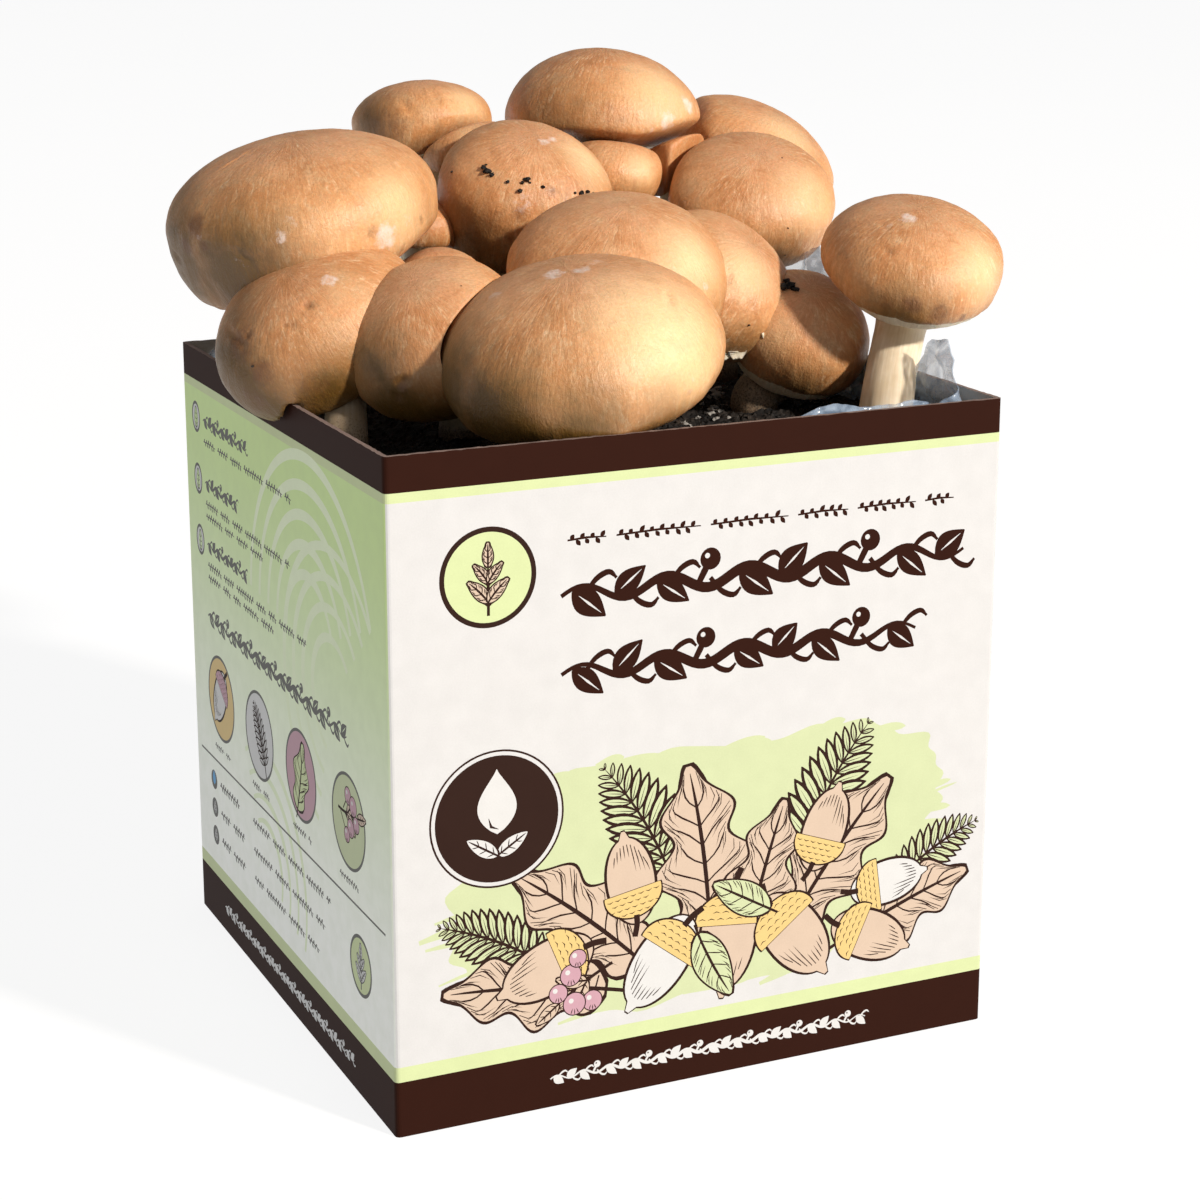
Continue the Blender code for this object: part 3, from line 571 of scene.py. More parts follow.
def peat_material(name, dark, light, roughness):
    """Casing soil, moist peat: nearly black, crumbly, with a few browner fibres and hardly any gloss."""
    made, tree, place = surface(name)
    grit = add(tree, "ShaderNodeTexNoise", {"Vector": place, "Scale": per(1.1), "Detail": 5.0,
                                            "Roughness": 0.7})
    broad = add(tree, "ShaderNodeTexNoise", {"Vector": place, "Scale": per(12), "Detail": 2.0})
    both = add(tree, "ShaderNodeMath", {0: grit, 1: broad}, operation="MULTIPLY")
    share = add(tree, "ShaderNodeMapRange", {0: both, 1: 0.18, 2: 0.42})
    tint = add(tree, "ShaderNodeMix", {0: share, 6: colour(dark), 7: colour(light)}, 2, data_type="RGBA")
    normal = add(tree, "ShaderNodeBump", {"Strength": 0.8, "Distance": 0.5 * MM, "Height": grit})
    finish_surface(tree, Base_Color=tint, Roughness=roughness, IOR=1.4, Normal=normal)
    return made


def mycelium_material():
    """Mycelium, grown: a fine cottony web over the soil, grey-white and matt."""
    made, tree, place = surface("mycelium_web")
    web = add(tree, "ShaderNodeTexNoise", {"Vector": place, "Scale": per(0.8), "Detail": 4.0})
    tint = add(tree, "ShaderNodeMix", {0: web, 6: colour("#54514E"), 7: colour("#A9A5A0")}, 2,
               data_type="RGBA")
    normal = add(tree, "ShaderNodeBump", {"Strength": 0.8, "Distance": 0.3 * MM, "Height": web})
    finish_surface(tree, Base_Color=tint, Roughness=0.9, Normal=normal)
    return made


def film_material():
    """Polythene film, blown and crumpled: clear with a faint blue-white haze, glossy along each crease."""
    made, tree, place = surface("clear_polythene_film")
    crease = add(tree, "ShaderNodeTexVoronoi", {"Vector": place, "Scale": per(9)}, feature="DISTANCE_TO_EDGE")
    haze = add(tree, "ShaderNodeTexNoise", {"Vector": place, "Scale": per(7), "Detail": 4.0,
                                            "Distortion": 1.0})
    tint = add(tree, "ShaderNodeMix", {0: haze, 6: colour("#3F6C9C"), 7: colour("#D6E4F3")}, 2,
               data_type="RGBA")
    cover = add(tree, "ShaderNodeMapRange", {0: haze, 1: 0.35, 2: 0.70, 3: 0.22, 4: 0.62})
    height = add(tree, "ShaderNodeMapRange", {0: crease, 1: 0.0, 2: 0.12})
    normal = add(tree, "ShaderNodeBump", {"Strength": 0.5, "Distance": 0.6 * MM, "Height": height})
    finish_surface(tree, Base_Color=tint, Roughness=0.09, IOR=1.51, Alpha=cover, Specular_IOR_Level=0.9,
                   Normal=normal)
    return made


def contact_planes():
    """For each cap, the planes (way out, distance) where it meets its neighbours. A small cap yields more."""
    # Directions spread evenly over a sphere, along a spiral
    step = np.arange(CONTACT_DIRECTIONS) + 0.5
    height = 1 - 2 * step / CONTACT_DIRECTIONS
    angle = step * pi * (1 + 5 ** 0.5)
    out = np.sqrt(1 - height ** 2)
    directions = np.stack([out * np.cos(angle), out * np.sin(angle), height], axis=1)
    forms = [ellipsoid(mushroom) for mushroom in MUSHROOMS]
    planes = [[] for mushroom in MUSHROOMS]
    for first in range(len(forms)):
        for second in range(first + 1, len(forms)):
            names = (MUSHROOMS[first]["name"], MUSHROOMS[second]["name"])
            if names in YIELDING or names[::-1] in YIELDING:
                continue
            middle_a, axes_a = forms[first]
            middle_b, axes_b = forms[second]
            near_a = directions @ middle_a + np.linalg.norm(directions @ axes_a, axis=1)
            near_b = directions @ middle_b - np.linalg.norm(directions @ axes_b, axis=1)
            best = int(np.argmax(near_b - near_a))
            if near_b[best] - near_a[best] > 2 * CONTACT_SOFTNESS:
                continue
            firm_a, firm_b = MUSHROOMS[first]["radius"] ** 2, MUSHROOMS[second]["radius"] ** 2
            between = (near_a[best] * firm_a + near_b[best] * firm_b) / (firm_a + firm_b)
            planes[first].append((directions[best], between - CONTACT_GAP / 2))
            planes[second].append((-directions[best], -between - CONTACT_GAP / 2))
    return planes


def cap_frame(mushroom):
    """The turn that leans a cap, its middle, and the turn of its long half axis."""
    heading = radians(mushroom["to"])
    lean = Matrix.Rotation(radians(mushroom["lean"]), 3, (-sin(heading), cos(heading), 0))
    middle = Vector((mushroom["x"], mushroom["y"], mushroom["z"])) * MM
    return lean, middle, Matrix.Rotation(radians(mushroom["turn"]), 3, "Z")


def ellipsoid(mushroom):
    """A smooth stand-in for a cap: its middle, and its three half axes as columns."""
    lean, middle, turn = cap_frame(mushroom)
    radius = mushroom["radius"] * MM
    half_height = radius * (mushroom["crown"] + mushroom["hem"]) / 2
    offset = radius * (mushroom["crown"] - mushroom["hem"]) / 2
    axes = lean @ turn @ Matrix.Diagonal((radius, radius * mushroom["stretch"], half_height))
    return np.array(middle + lean @ Vector((0, 0, offset))), np.array(axes)


def cap_section(mushroom):
    """A cap's half section as (out, up, reach): reach is 0 at the crown, 1 at the widest ring, 2 where the
    hem ends, 3 at the stem's well and 4 in the well's middle."""
    radius = mushroom["radius"] * MM
    well = mushroom["thick"] * STEM_TOP_FLARE * MM + CLEARANCE
    section = []
    dome_rows = ceil(DOME_RUN * radius / CAP_CELL)
    for row in range(dome_rows + 1):
        share = row / dome_rows
        turn = pi / 2 * share
        section.append((radius * sin(turn), radius * mushroom["crown"] * cos(turn), share))
    hem_rows = ceil(HEM_RUN * radius / CAP_CELL)
    for row in range(1, hem_rows + 1):
        share = row / hem_rows
        turn = pi / 2 * share
        edge = radius * (1 - HEM_TUCK * (1 - cos(turn)))
        section.append((edge, -radius * mushroom["hem"] * sin(turn), 1 + share))
    edge, low = section[-1][0], section[-1][1]
    veil = radius * (VEIL_RISE - mushroom["hem"])
    veil_rows = ceil((edge - well) / (2 * CAP_CELL))
    for row in range(1, veil_rows + 1):
        share = row / veil_rows
        section.append((edge + (well - edge) * share, low + (veil - low) * share ** 1.5, 2 + share))
    section.append((well, veil + WELL_DEPTH / 2, 3.3))
    section.append((well, veil + WELL_DEPTH, 3.6))
    section.append((0.0, veil + WELL_DEPTH, 4.0))
    return np.array(section)


def pressed(points, planes):
    """Points eased back from each plane, so that a cap lies flat where it meets its neighbour."""
    for way, distance in planes:
        reach = points @ way
        over = reach - (distance - CONTACT_SOFTNESS)
        eased = distance - CONTACT_SOFTNESS * np.exp(-np.maximum(over, 0) / CONTACT_SOFTNESS)
        points = points + np.outer(np.where(over > 0, eased - reach, 0.0), way)
    for way, distance in planes * 3:
        points = points - np.outer(np.maximum(points @ way - distance, 0.0), way)
    return points


def cap_cage(mushroom, index, planes):
    """A cap's mesh before its fine relief, with what its skin needs to know at each point."""
    radius = mushroom["radius"] * MM
    section = cap_section(mushroom)
    columns = ceil(2 * pi * radius / CAP_CELL)
    heading = np.arange(columns) * 2 * pi / columns
    out, up, reach = (np.repeat(section[:, part], columns) for part in range(3))
    heading = np.tile(heading, len(section))
    steps = np.hypot(np.diff(section[:, 0]), np.diff(section[:, 1]))
    arc = np.repeat(np.concatenate([[0.0], np.cumsum(steps)]), columns)

    ragged = sum(np.sin(turns * heading + turns * index) / turns ** 0.6 for turns in (3, 5, 8, 13, 21, 34))
    bare = mushroom["bare"] * smooth(np.cos(heading - BARE_SIDE), 0, 1)
    skin_end = 1 + mushroom["edge"] + SKIN_END_RAGGED * ragged - bare
    veil = smooth(reach, skin_end - SKIN_END_FADE, skin_end + SKIN_END_FADE)
    wave = np.sin(2 * heading + 1.7 * index) + 0.7 * np.sin(3 * heading + 2.9 * index)
    spread = 1 + CAP_LUMP * wave * np.clip(out / radius, 0, 1) ** 2
    inset = 1 - SKIN_STEP / radius * veil * (reach < 3)
    wide = out * spread * inset
    upright = np.stack([wide * np.cos(heading), wide * np.sin(heading), up], axis=1)

    lean, middle, turn = (np.array(item) for item in cap_frame(mushroom))
    stretch = turn @ np.diag([1.0, mushroom["stretch"], 1.0]) @ turn.T
    rigid = upright @ lean.T + middle
    shaped = pressed(upright @ stretch.T @ lean.T + middle, planes)
    dented = np.zeros(len(shaped), dtype=bool)
    for other in MUSHROOMS:
        if (mushroom["name"], other["name"]) in YIELDING:
            centre, axes = ellipsoid(other)
            local = (shaped - centre) @ np.linalg.inv(axes).T
            depth = np.linalg.norm(local, axis=1)[:, None] / DENT_SCALE
            dented |= depth[:, 0] < 1
            shaped = np.where(depth < 1, centre + local / np.maximum(depth, 1e-6) @ axes.T, shaped)
    places = np.where((reach > 2.99)[:, None], rigid, shaped)
    room = np.full(len(places), ROOM_REACH)
    for way, distance in planes:
        room = np.minimum(room, distance - places @ way)
    room = np.clip(room / ROOM_REACH, 0, 1) * (reach < 2.9) * ~dented

    mesh = grid_mesh("cap", places, len(section), columns, close_columns=True)
    offset = np.array(GRAIN_SHIFT) * (index + 1)
    grain = np.stack([radius * np.cos(heading), radius * np.sin(heading), arc], axis=1) + offset
    set_floats(mesh, "grain", grain, "FLOAT_VECTOR")
    tone = np.full(len(places), mushroom["tone"])
    for attribute, values in (("reach", reach), ("veil", veil), ("room", room), ("tone", tone)):
        set_floats(mesh, attribute, values)
    return solid_mesh(mesh, WELD)


def cap_relief_nodes(skin):
    """Fine relief of a cap: soft lumps, dimples, radial wrinkles towards the margin, and fibrils."""
    tree, given = grow_nodes("cap_relief", {
        "Lump Size": 20 * MM, "Lump Height": 1.3 * MM, "Dimple Size": 5 * MM, "Dimple Height": 0.32 * MM,
        "Wrinkle Width": 3.2 * MM, "Wrinkle Height": 0.8 * MM, "Fibril Width": 1.5 * MM,
        "Fibril Height": 0.16 * MM, "Seed": 1.0, "Skin": None})
    place = add(tree, "GeometryNodeInputPosition")
    normal = add(tree, "GeometryNodeInputNormal")
    grain = add(tree, "GeometryNodeInputNamedAttribute", {"Name": "grain"}, data_type="FLOAT_VECTOR")
    reach = add(tree, "GeometryNodeInputNamedAttribute", {"Name": "reach"}, data_type="FLOAT")
    room = add(tree, "GeometryNodeInputNamedAttribute", {"Name": "room"}, data_type="FLOAT")
    margin = add(tree, "ShaderNodeMapRange", {0: reach, 1: 0.55, 2: 1.5})
    along = add(tree, "ShaderNodeVectorMath", {0: grain, 1: (1.0, 1.0, 0.18)}, operation="MULTIPLY")
    across = add(tree, "ShaderNodeVectorMath", {0: grain, 1: (0.4, 0.4, 1.0)}, operation="MULTIPLY")
    total = noise_relief(tree, given, (
        (place, "Lump Size", "Lump Height", 1.0), (place, "Dimple Size", "Dimple Height", 1.0),
        (along, "Wrinkle Width", "Wrinkle Height", margin), (across, "Fibril Width", "Fibril Height", 1.0)))
    eased = add(tree, "ShaderNodeMath", {0: total, 1: room}, operation="MULTIPLY")
    offset = add(tree, "ShaderNodeVectorMath", {0: normal, 3: eased}, operation="SCALE")
    moved = add(tree, "GeometryNodeSetPosition", {"Geometry": given["Geometry"], "Offset": offset})
    end_nodes(tree, moved, given["Skin"])
    return tree


def sight(pixel_x, pixel_y):
    """The camera's place, and the direction in which it sees one of the photograph's pixels."""
    turn = Matrix.Rotation(radians(-CAMERA_YAW), 3, "Z") @ Matrix.Rotation(radians(90 - CAMERA_PITCH), 3, "X")
    way = Vector((pixel_x - AIM_PIXEL[0], AIM_PIXEL[1] - pixel_y, -FOCAL_PIXELS))
    return Vector(CAMERA_PLACE), (turn @ way).normalized()


def sighting_tree(mesh):
    """A mesh as the BVH tree that sight lines are cast on."""
    return BVHTree.FromPolygons([vertex.co for vertex in mesh.vertices],
                                [face.vertices for face in mesh.polygons])


def seen_on(tree, pixel_x, pixel_y):
    """The point and normal of a mesh that shows at a pixel; the nearest ones if none does."""
    start, way = sight(pixel_x, pixel_y)
    point, normal, index, distance = tree.ray_cast(start, way)
    if point is None:
        ahead = start + way * (Vector(CLUSTER_MIDDLE) - start).dot(way)
        point, normal, index, distance = tree.find_nearest(ahead)
    return point, normal


def mark_cap(mesh, name, tree):
    """Stores where a cap is scuffed or painted with glints, stained, olive or painted with shade, and pale
    with painted highlights, and presses its cuts in. tree is the cap's.
    """
    places = points_of(mesh)
    amounts = {}
    for attribute, marks, (full, end) in MARKS:
        amount = amounts[attribute] = np.zeros(len(places))
        for pixel_x, pixel_y, radius, strength in marks.get(name, ()):
            point, normal = seen_on(tree, pixel_x, pixel_y)
            away = np.linalg.norm(places - np.array(point), axis=1) / (radius * MM)
            np.maximum(amount, strength * (1 - smooth(away, full, end)), out=amount)
    for x0, y0, x1, y1, width, depth in CUTS.get(name, ()):
        (start, normal), (end, other) = seen_on(tree, x0, y0), seen_on(tree, x1, y1)
        span = np.array(end - start)
        share = np.clip((places - np.array(start)) @ span / max(span @ span, 1e-12), 0, 1)
        nearest = np.array(start) + share[:, None] * span
        away = np.linalg.norm(places - nearest, axis=1) / (width * MM)
        taper = np.sqrt(np.clip(1 - (2 * share - 1) ** 2, 0.05, 1))
        lip = np.exp(-((away - 1.5) / 0.6) ** 2) * CUT_LIP
        press = (lip - np.exp(-away ** 2)) * depth * MM * taper
        places = places + press[:, None] * np.array((normal + other).normalized())
        amounts["stain"] = np.maximum(amounts["stain"], 0.8 * min(depth, 1) * np.exp(-away ** 2) * taper)
    for attribute, amount in amounts.items():
        set_floats(mesh, attribute, amount)
    if name == OVERHANGING:
        wall = np.abs(places[:, 0] + (CARTON_SIDE - BOARD) / 2) < BOARD / 2 + CLEARANCE + CAP_CELL
        places[:, 2] = np.where(wall, np.maximum(places[:, 2], CARTON_HEIGHT + CLEARANCE), places[:, 2])
    mesh.vertices.foreach_set("co", places.ravel())
    mesh.shade_smooth()


def stem_route(mushroom):
    """A stem's line, upright from its foot and then over to meet the cap: (point, swell) from foot to top."""
    lean, middle, turn = cap_frame(mushroom)
    radius = mushroom["radius"] * MM
    axis = lean @ Vector((0, 0, 1))
    top_height = radius * (VEIL_RISE - mushroom["hem"]) + WELL_DEPTH - CLEARANCE
    top = middle + axis * top_height
    neck = middle + axis * (top_height - WELL_DEPTH - 2 * MM)
    foot = Vector((mushroom["foot_x"] * MM, mushroom["foot_y"] * MM, SOIL_LEVEL - SOCKET_DEPTH + CLEARANCE))
    collar = foot + Vector((0, 0, SOCKET_DEPTH + 2 * MM))
    pull = (neck - collar).length / 3
    bend_low = collar + Vector((0, 0, pull))
    bend_high = neck - axis * pull
    route = [(foot.lerp(collar, share), STEM_FOOT_SWELL) for share in np.linspace(0, 1, 9)[:-1]]
    for share in np.linspace(0, 1, 60):
        rest = 1 - share
        point = (collar * rest ** 3 + bend_low * 3 * rest ** 2 * share
                 + bend_high * 3 * rest * share ** 2 + neck * share ** 3)
        swell = np.interp(share, (0, 0.33, 0.67, 1), (STEM_FOOT_SWELL, 1, 1, STEM_TOP_FLARE))
        route.append((point, float(swell)))
    return route + [(neck.lerp(top, share), STEM_TOP_FLARE) for share in np.linspace(0, 1, 7)[1:]]


def stem_nodes(flesh):
    """A stem round its line, with lengthwise fibres and soft swellings."""
    tree, given = grow_nodes("stem", {
        "Thickness": 8 * MM, "Steps": STEM_STEPS, "Sides": STEM_SIDES, "Fibre Width": 1.6 * MM,
        "Fibre Height": 0.35 * MM, "Lump Size": 9 * MM, "Lump Height": 0.5 * MM, "Seed": 1.0, "Flesh": None})
    line = add(tree, "GeometryNodeResampleCurve", {"Curve": given["Geometry"], "Count": given["Steps"]})
    along = add(tree, "GeometryNodeSplineParameter", out=1)
    line = add(tree, "GeometryNodeStoreNamedAttribute", {"Geometry": line, "Name": "foot", "Value": along},
               data_type="FLOAT", domain="POINT")
    ring = add(tree, "GeometryNodeCurvePrimitiveCircle", {"Resolution": given["Sides"], "Radius": 1.0})
    around = add(tree, "GeometryNodeInputPosition")
    ring = add(tree, "GeometryNodeStoreNamedAttribute", {"Geometry": ring, "Name": "around", "Value": around},
               data_type="FLOAT_VECTOR", domain="POINT")
    radius = add(tree, "GeometryNodeInputRadius")
    scale = add(tree, "ShaderNodeMath", {0: radius, 1: given["Thickness"]}, operation="MULTIPLY")
    tube = add(tree, "GeometryNodeCurveToMesh", {"Curve": line, "Profile Curve": ring, "Scale": scale,
                                                "Fill Caps": True})
    way = add(tree, "GeometryNodeInputNamedAttribute", {"Name": "around"}, data_type="FLOAT_VECTOR")
    length = add(tree, "GeometryNodeInputNamedAttribute", {"Name": "foot"}, data_type="FLOAT")
    flat = add(tree, "ShaderNodeVectorMath", {0: way, 3: given["Thickness"]}, operation="SCALE")
    upward = add(tree, "ShaderNodeCombineXYZ", {"Z": length})
    grain = add(tree, "ShaderNodeVectorMath", {0: flat, 1: upward}, operation="ADD")
    tube = add(tree, "GeometryNodeStoreNamedAttribute", {"Geometry": tube, "Name": "grain", "Value": grain},
               data_type="FLOAT_VECTOR", domain="POINT")
    drawn = add(tree, "ShaderNodeVectorMath", {0: grain, 1: (1.0, 1.0, 0.1)}, operation="MULTIPLY")
    normal = add(tree, "GeometryNodeInputNormal")
    total = noise_relief(tree, given, ((drawn, "Fibre Width", "Fibre Height", 1.0),
                                       (grain, "Lump Size", "Lump Height", 1.0)))
    offset = add(tree, "ShaderNodeVectorMath", {0: normal, 3: total}, operation="SCALE")
    moved = add(tree, "GeometryNodeSetPosition", {"Geometry": tube, "Offset": offset})
    end_nodes(tree, moved, given["Flesh"])
    return tree


def stem_mesh(mushroom, index, tree, flesh):
    """A stem's finished mesh."""
    route = stem_route(mushroom)
    curve = bpy.data.curves.new("stem_line", "CURVE")
    curve.dimensions = "3D"
    line = curve.splines.new("POLY")
    line.points.add(len(route) - 1)
    for point, (place, swell) in zip(line.points, route):
        point.co = (*place, 1.0)
        point.radius = swell
    mesh = run_nodes(curve, tree, {"Thickness": mushroom["thick"] * MM, "Seed": float(index), "Flesh": flesh})
    set_floats(mesh, "shade_and_soil", np.full(len(mesh.vertices), float(mushroom["name"] != STEM_WITHOUT_SHADE_OR_SOIL)))
    mesh.shade_smooth()
    return mesh


def soil_height(x, y):
    """Height of the soil's top, without the sockets."""
    return SOIL_LEVEL + SOIL_LUMP * noise.noise(Vector((x, y, 0)) / SOIL_LUMP_SPACING)


def soil_mesh():
    """The block of soil: crumbly on top, heaped at the right front, and hollowed where each stem stands.
    Its attribute crumbs tells where loose crumbs may lie."""
    half = CARTON_SIDE / 2 - BOARD - 2 * CLEARANCE - SOLID_FILM
    floor = 2 * BOARD + 2 * CLEARANCE + SOLID_FILM
    inner = half - BAG_CORNER
    start, way = sight(*HEAP_PIXEL)
    heap = start + way * ((HEAP_LEVEL - start.z) / way.z)
    line = np.linspace(-half, half, SOIL_CELLS + 1)
    places, free = [], []
    for y in line:
        for x in line:
            past = Vector((max(abs(x) - inner, 0), max(abs(y) - inner, 0)))
            in_x, in_y = x, y
            if past.x and past.y:
                keep = max(past) / past.length * SOIL_CORNER / BAG_CORNER
                in_x = (inner + past.x * keep) * (1 if x > 0 else -1)
                in_y = (inner + past.y * keep) * (1 if y > 0 else -1)
            here = Vector((in_x, in_y, 0))
            crumble = sum(rise * abs(noise.noise(here / (size * MM))) for rise, size in SOIL_CRUMBLE)
            crumble += SOIL_GRIT[0] * noise.noise(here / (SOIL_GRIT[1] * MM))
            pile = HEAP_HEIGHT * np.exp(-((in_x - heap.x) ** 2 + (in_y - heap.y) ** 2) / HEAP_SPREAD ** 2)
            height = soil_height(in_x, in_y) + crumble * MM + pile - SOIL_SINK
            gap = min(np.hypot(in_x - mushroom["foot_x"] * MM, in_y - mushroom["foot_y"] * MM)
                      - mushroom["thick"] * STEM_FOOT_SWELL * MM for mushroom in MUSHROOMS)
            if gap < SOCKET_GAP:
                height = SOIL_LEVEL - SOCKET_DEPTH
            places.append((in_x, in_y, height))
            free.append(float(gap > CRUMB_GAP and max(abs(x), abs(y)) < half - CRUMB_MARGIN))
    count = SOIL_CELLS + 1
    mesh = grid_mesh("soil", np.array(places), count, count)
    bm = bmesh.new()
    bm.from_mesh(mesh)
    rim = [edge for edge in bm.edges if edge.is_boundary]
    skirt = bmesh.ops.extrude_edge_only(bm, edges=rim)["geom"]
    for item in skirt:
        if isinstance(item, bmesh.types.BMVert):
            item.co.z = floor
    bmesh.ops.contextual_create(bm, geom=[edge for edge in bm.edges if edge.is_boundary])
    bmesh.ops.recalc_face_normals(bm, faces=bm.faces)
    bm.to_mesh(mesh)
    bm.free()
    set_floats(mesh, "crumbs", free + [0.0] * (len(mesh.vertices) - len(free)))
    return mesh


def crumb_nodes():
    """Loose crumbs scattered over a surface, where its attribute crumbs allows them."""
    tree, given = grow_nodes("crumbs", {"Size": SOIL_CRUMB, "Spacing": 1.9 * MM, "Density": 90000.0,
                                        "Roughness": 0.5, "Seed": 4, "Soil": None})
    allowed = add(tree, "GeometryNodeInputNamedAttribute", {"Name": "crumbs"}, data_type="FLOAT")
    points = tree.nodes.new("GeometryNodeDistributePointsOnFaces")
    points.distribute_method = "POISSON"
    for key, value in {"Mesh": given["Geometry"], "Distance Min": given["Spacing"],
                       "Density Max": given["Density"], "Density Factor": allowed,
                       "Seed": given["Seed"]}.items():
        tree.links.new(value, points.inputs[key])
    crumb = add(tree, "GeometryNodeMeshIcoSphere", {"Radius": 0.5, "Subdivisions": 2})
    normal = add(tree, "GeometryNodeInputNormal")
    field = add(tree, "ShaderNodeTexNoise", {"Scale": 2.2, "Detail": 2.0})
    centred = add(tree, "ShaderNodeMath", {0: field, 1: 0.5}, operation="SUBTRACT")
    swell = add(tree, "ShaderNodeMath", {0: centred, 1: given["Roughness"]}, operation="MULTIPLY")
    offset = add(tree, "ShaderNodeVectorMath", {0: normal, 3: swell}, operation="SCALE")
    crumb = add(tree, "GeometryNodeSetPosition", {"Geometry": crumb, "Offset": offset})
    turn = add(tree, "FunctionNodeRandomValue", {1: (6.28, 6.28, 6.28), "Seed": given["Seed"]},
               data_type="FLOAT_VECTOR")
    spread = add(tree, "FunctionNodeRandomValue", {0: (0.5, 0.5, 0.4), 1: (1.5, 1.2, 1.0),
                                                   "Seed": given["Seed"]}, data_type="FLOAT_VECTOR")
    size = add(tree, "ShaderNodeVectorMath", {0: spread, 3: given["Size"]}, operation="SCALE")
    scattered = add(tree, "GeometryNodeInstanceOnPoints",
                    {"Points": points.outputs["Points"], "Instance": crumb, "Rotation": turn, "Scale": size})
    end_nodes(tree, scattered, given["Soil"])
    return tree


def crumb_mesh(name, places, cells=2):
    """Irregular crumbs at these (point, size in metres), as one mesh."""
    bm = bmesh.new()
    for number, (place, size) in enumerate(places):
        made = bmesh.ops.create_icosphere(bm, subdivisions=cells, radius=size / 2)["verts"]
        squash = Vector((1.0, 0.8 + 0.3 * (number % 3) / 2, 0.75))
        for vertex in made:
            way = vertex.co.normalized()
            swell = 1 + 0.9 * noise.noise(way * 1.9 + Vector((number, 0, 0)) * 3.1)
            vertex.co = vertex.co * squash * swell + place
    return mesh_of(bm, name)


def flap_mesh(name, places):
    """Thin curling flaps of torn veil at these (point, way out, width, drop), as one mesh."""
    bm = bmesh.new()
    for number, (place, out, width, drop) in enumerate(places):
        across = Vector((0, 0, 1)).cross(out).normalized()
        down = (out.cross(across) * (1 if out.cross(across).z < 0 else -1)).normalized()
        sheets = []
        for thick in (0.0, FLAP_THICKNESS):
            grid = []
            for row in range(FLAP_CELLS + 1):
                for column in range(FLAP_CELLS + 1):
                    v, u = row / FLAP_CELLS, 2 * column / FLAP_CELLS - 1
                    torn = 1 + 0.4 * noise.noise(Vector((u * 2.3, number * 1.7, 0)))
                    point = place + across * u * width / 2 * (1 - 0.55 * v ** 2) + down * v * drop * torn
                    curl = 0.55 * v ** 2 + 0.25 * noise.noise(Vector((u * 1.5, v * 1.5, number)))
                    grid.append(bm.verts.new(point + out * (curl * drop + thick - FLAP_TUCK)))
            sheets.append(grid)
        wide = FLAP_CELLS + 1
        for row in range(FLAP_CELLS):
            for column in range(FLAP_CELLS):
                at = row * wide + column
                corners = (at, at + 1, at + wide + 1, at + wide)
                bm.faces.new([sheets[1][corner] for corner in corners])
                bm.faces.new([sheets[0][corner] for corner in reversed(corners)])
        edge = ([*range(FLAP_CELLS)] + [row * wide + FLAP_CELLS for row in range(FLAP_CELLS)]
                + [wide * wide - 1 - step for step in range(FLAP_CELLS)]
                + [(FLAP_CELLS - row) * wide for row in range(FLAP_CELLS)])
        for first, second in zip(edge, edge[1:] + edge[:1]):
            bm.faces.new((sheets[1][second], sheets[1][first], sheets[0][first], sheets[0][second]))
    bmesh.ops.recalc_face_normals(bm, faces=bm.faces)
    mesh = mesh_of(bm, name)
    mesh.shade_smooth()
    return mesh


def on_bag_wall(column, half):
    """The point at a column of the bag's wall, which is a square with round corners, and the way out."""
    side = half - BAG_CORNER
    quarter, column = divmod(column, BAG_SIDE_COLUMNS + BAG_CORNER_COLUMNS)
    if column < BAG_SIDE_COLUMNS:
        point, out = Vector((half, side * (2 * column / BAG_SIDE_COLUMNS - 1))), Vector((1, 0))
    else:
        angle = pi / 2 * (column - BAG_SIDE_COLUMNS) / BAG_CORNER_COLUMNS
        out = Vector((cos(angle), sin(angle)))
        point = Vector((side, side)) + BAG_CORNER * out
    turn = Matrix.Rotation(quarter * pi / 2, 2)
    return turn @ point, turn @ out


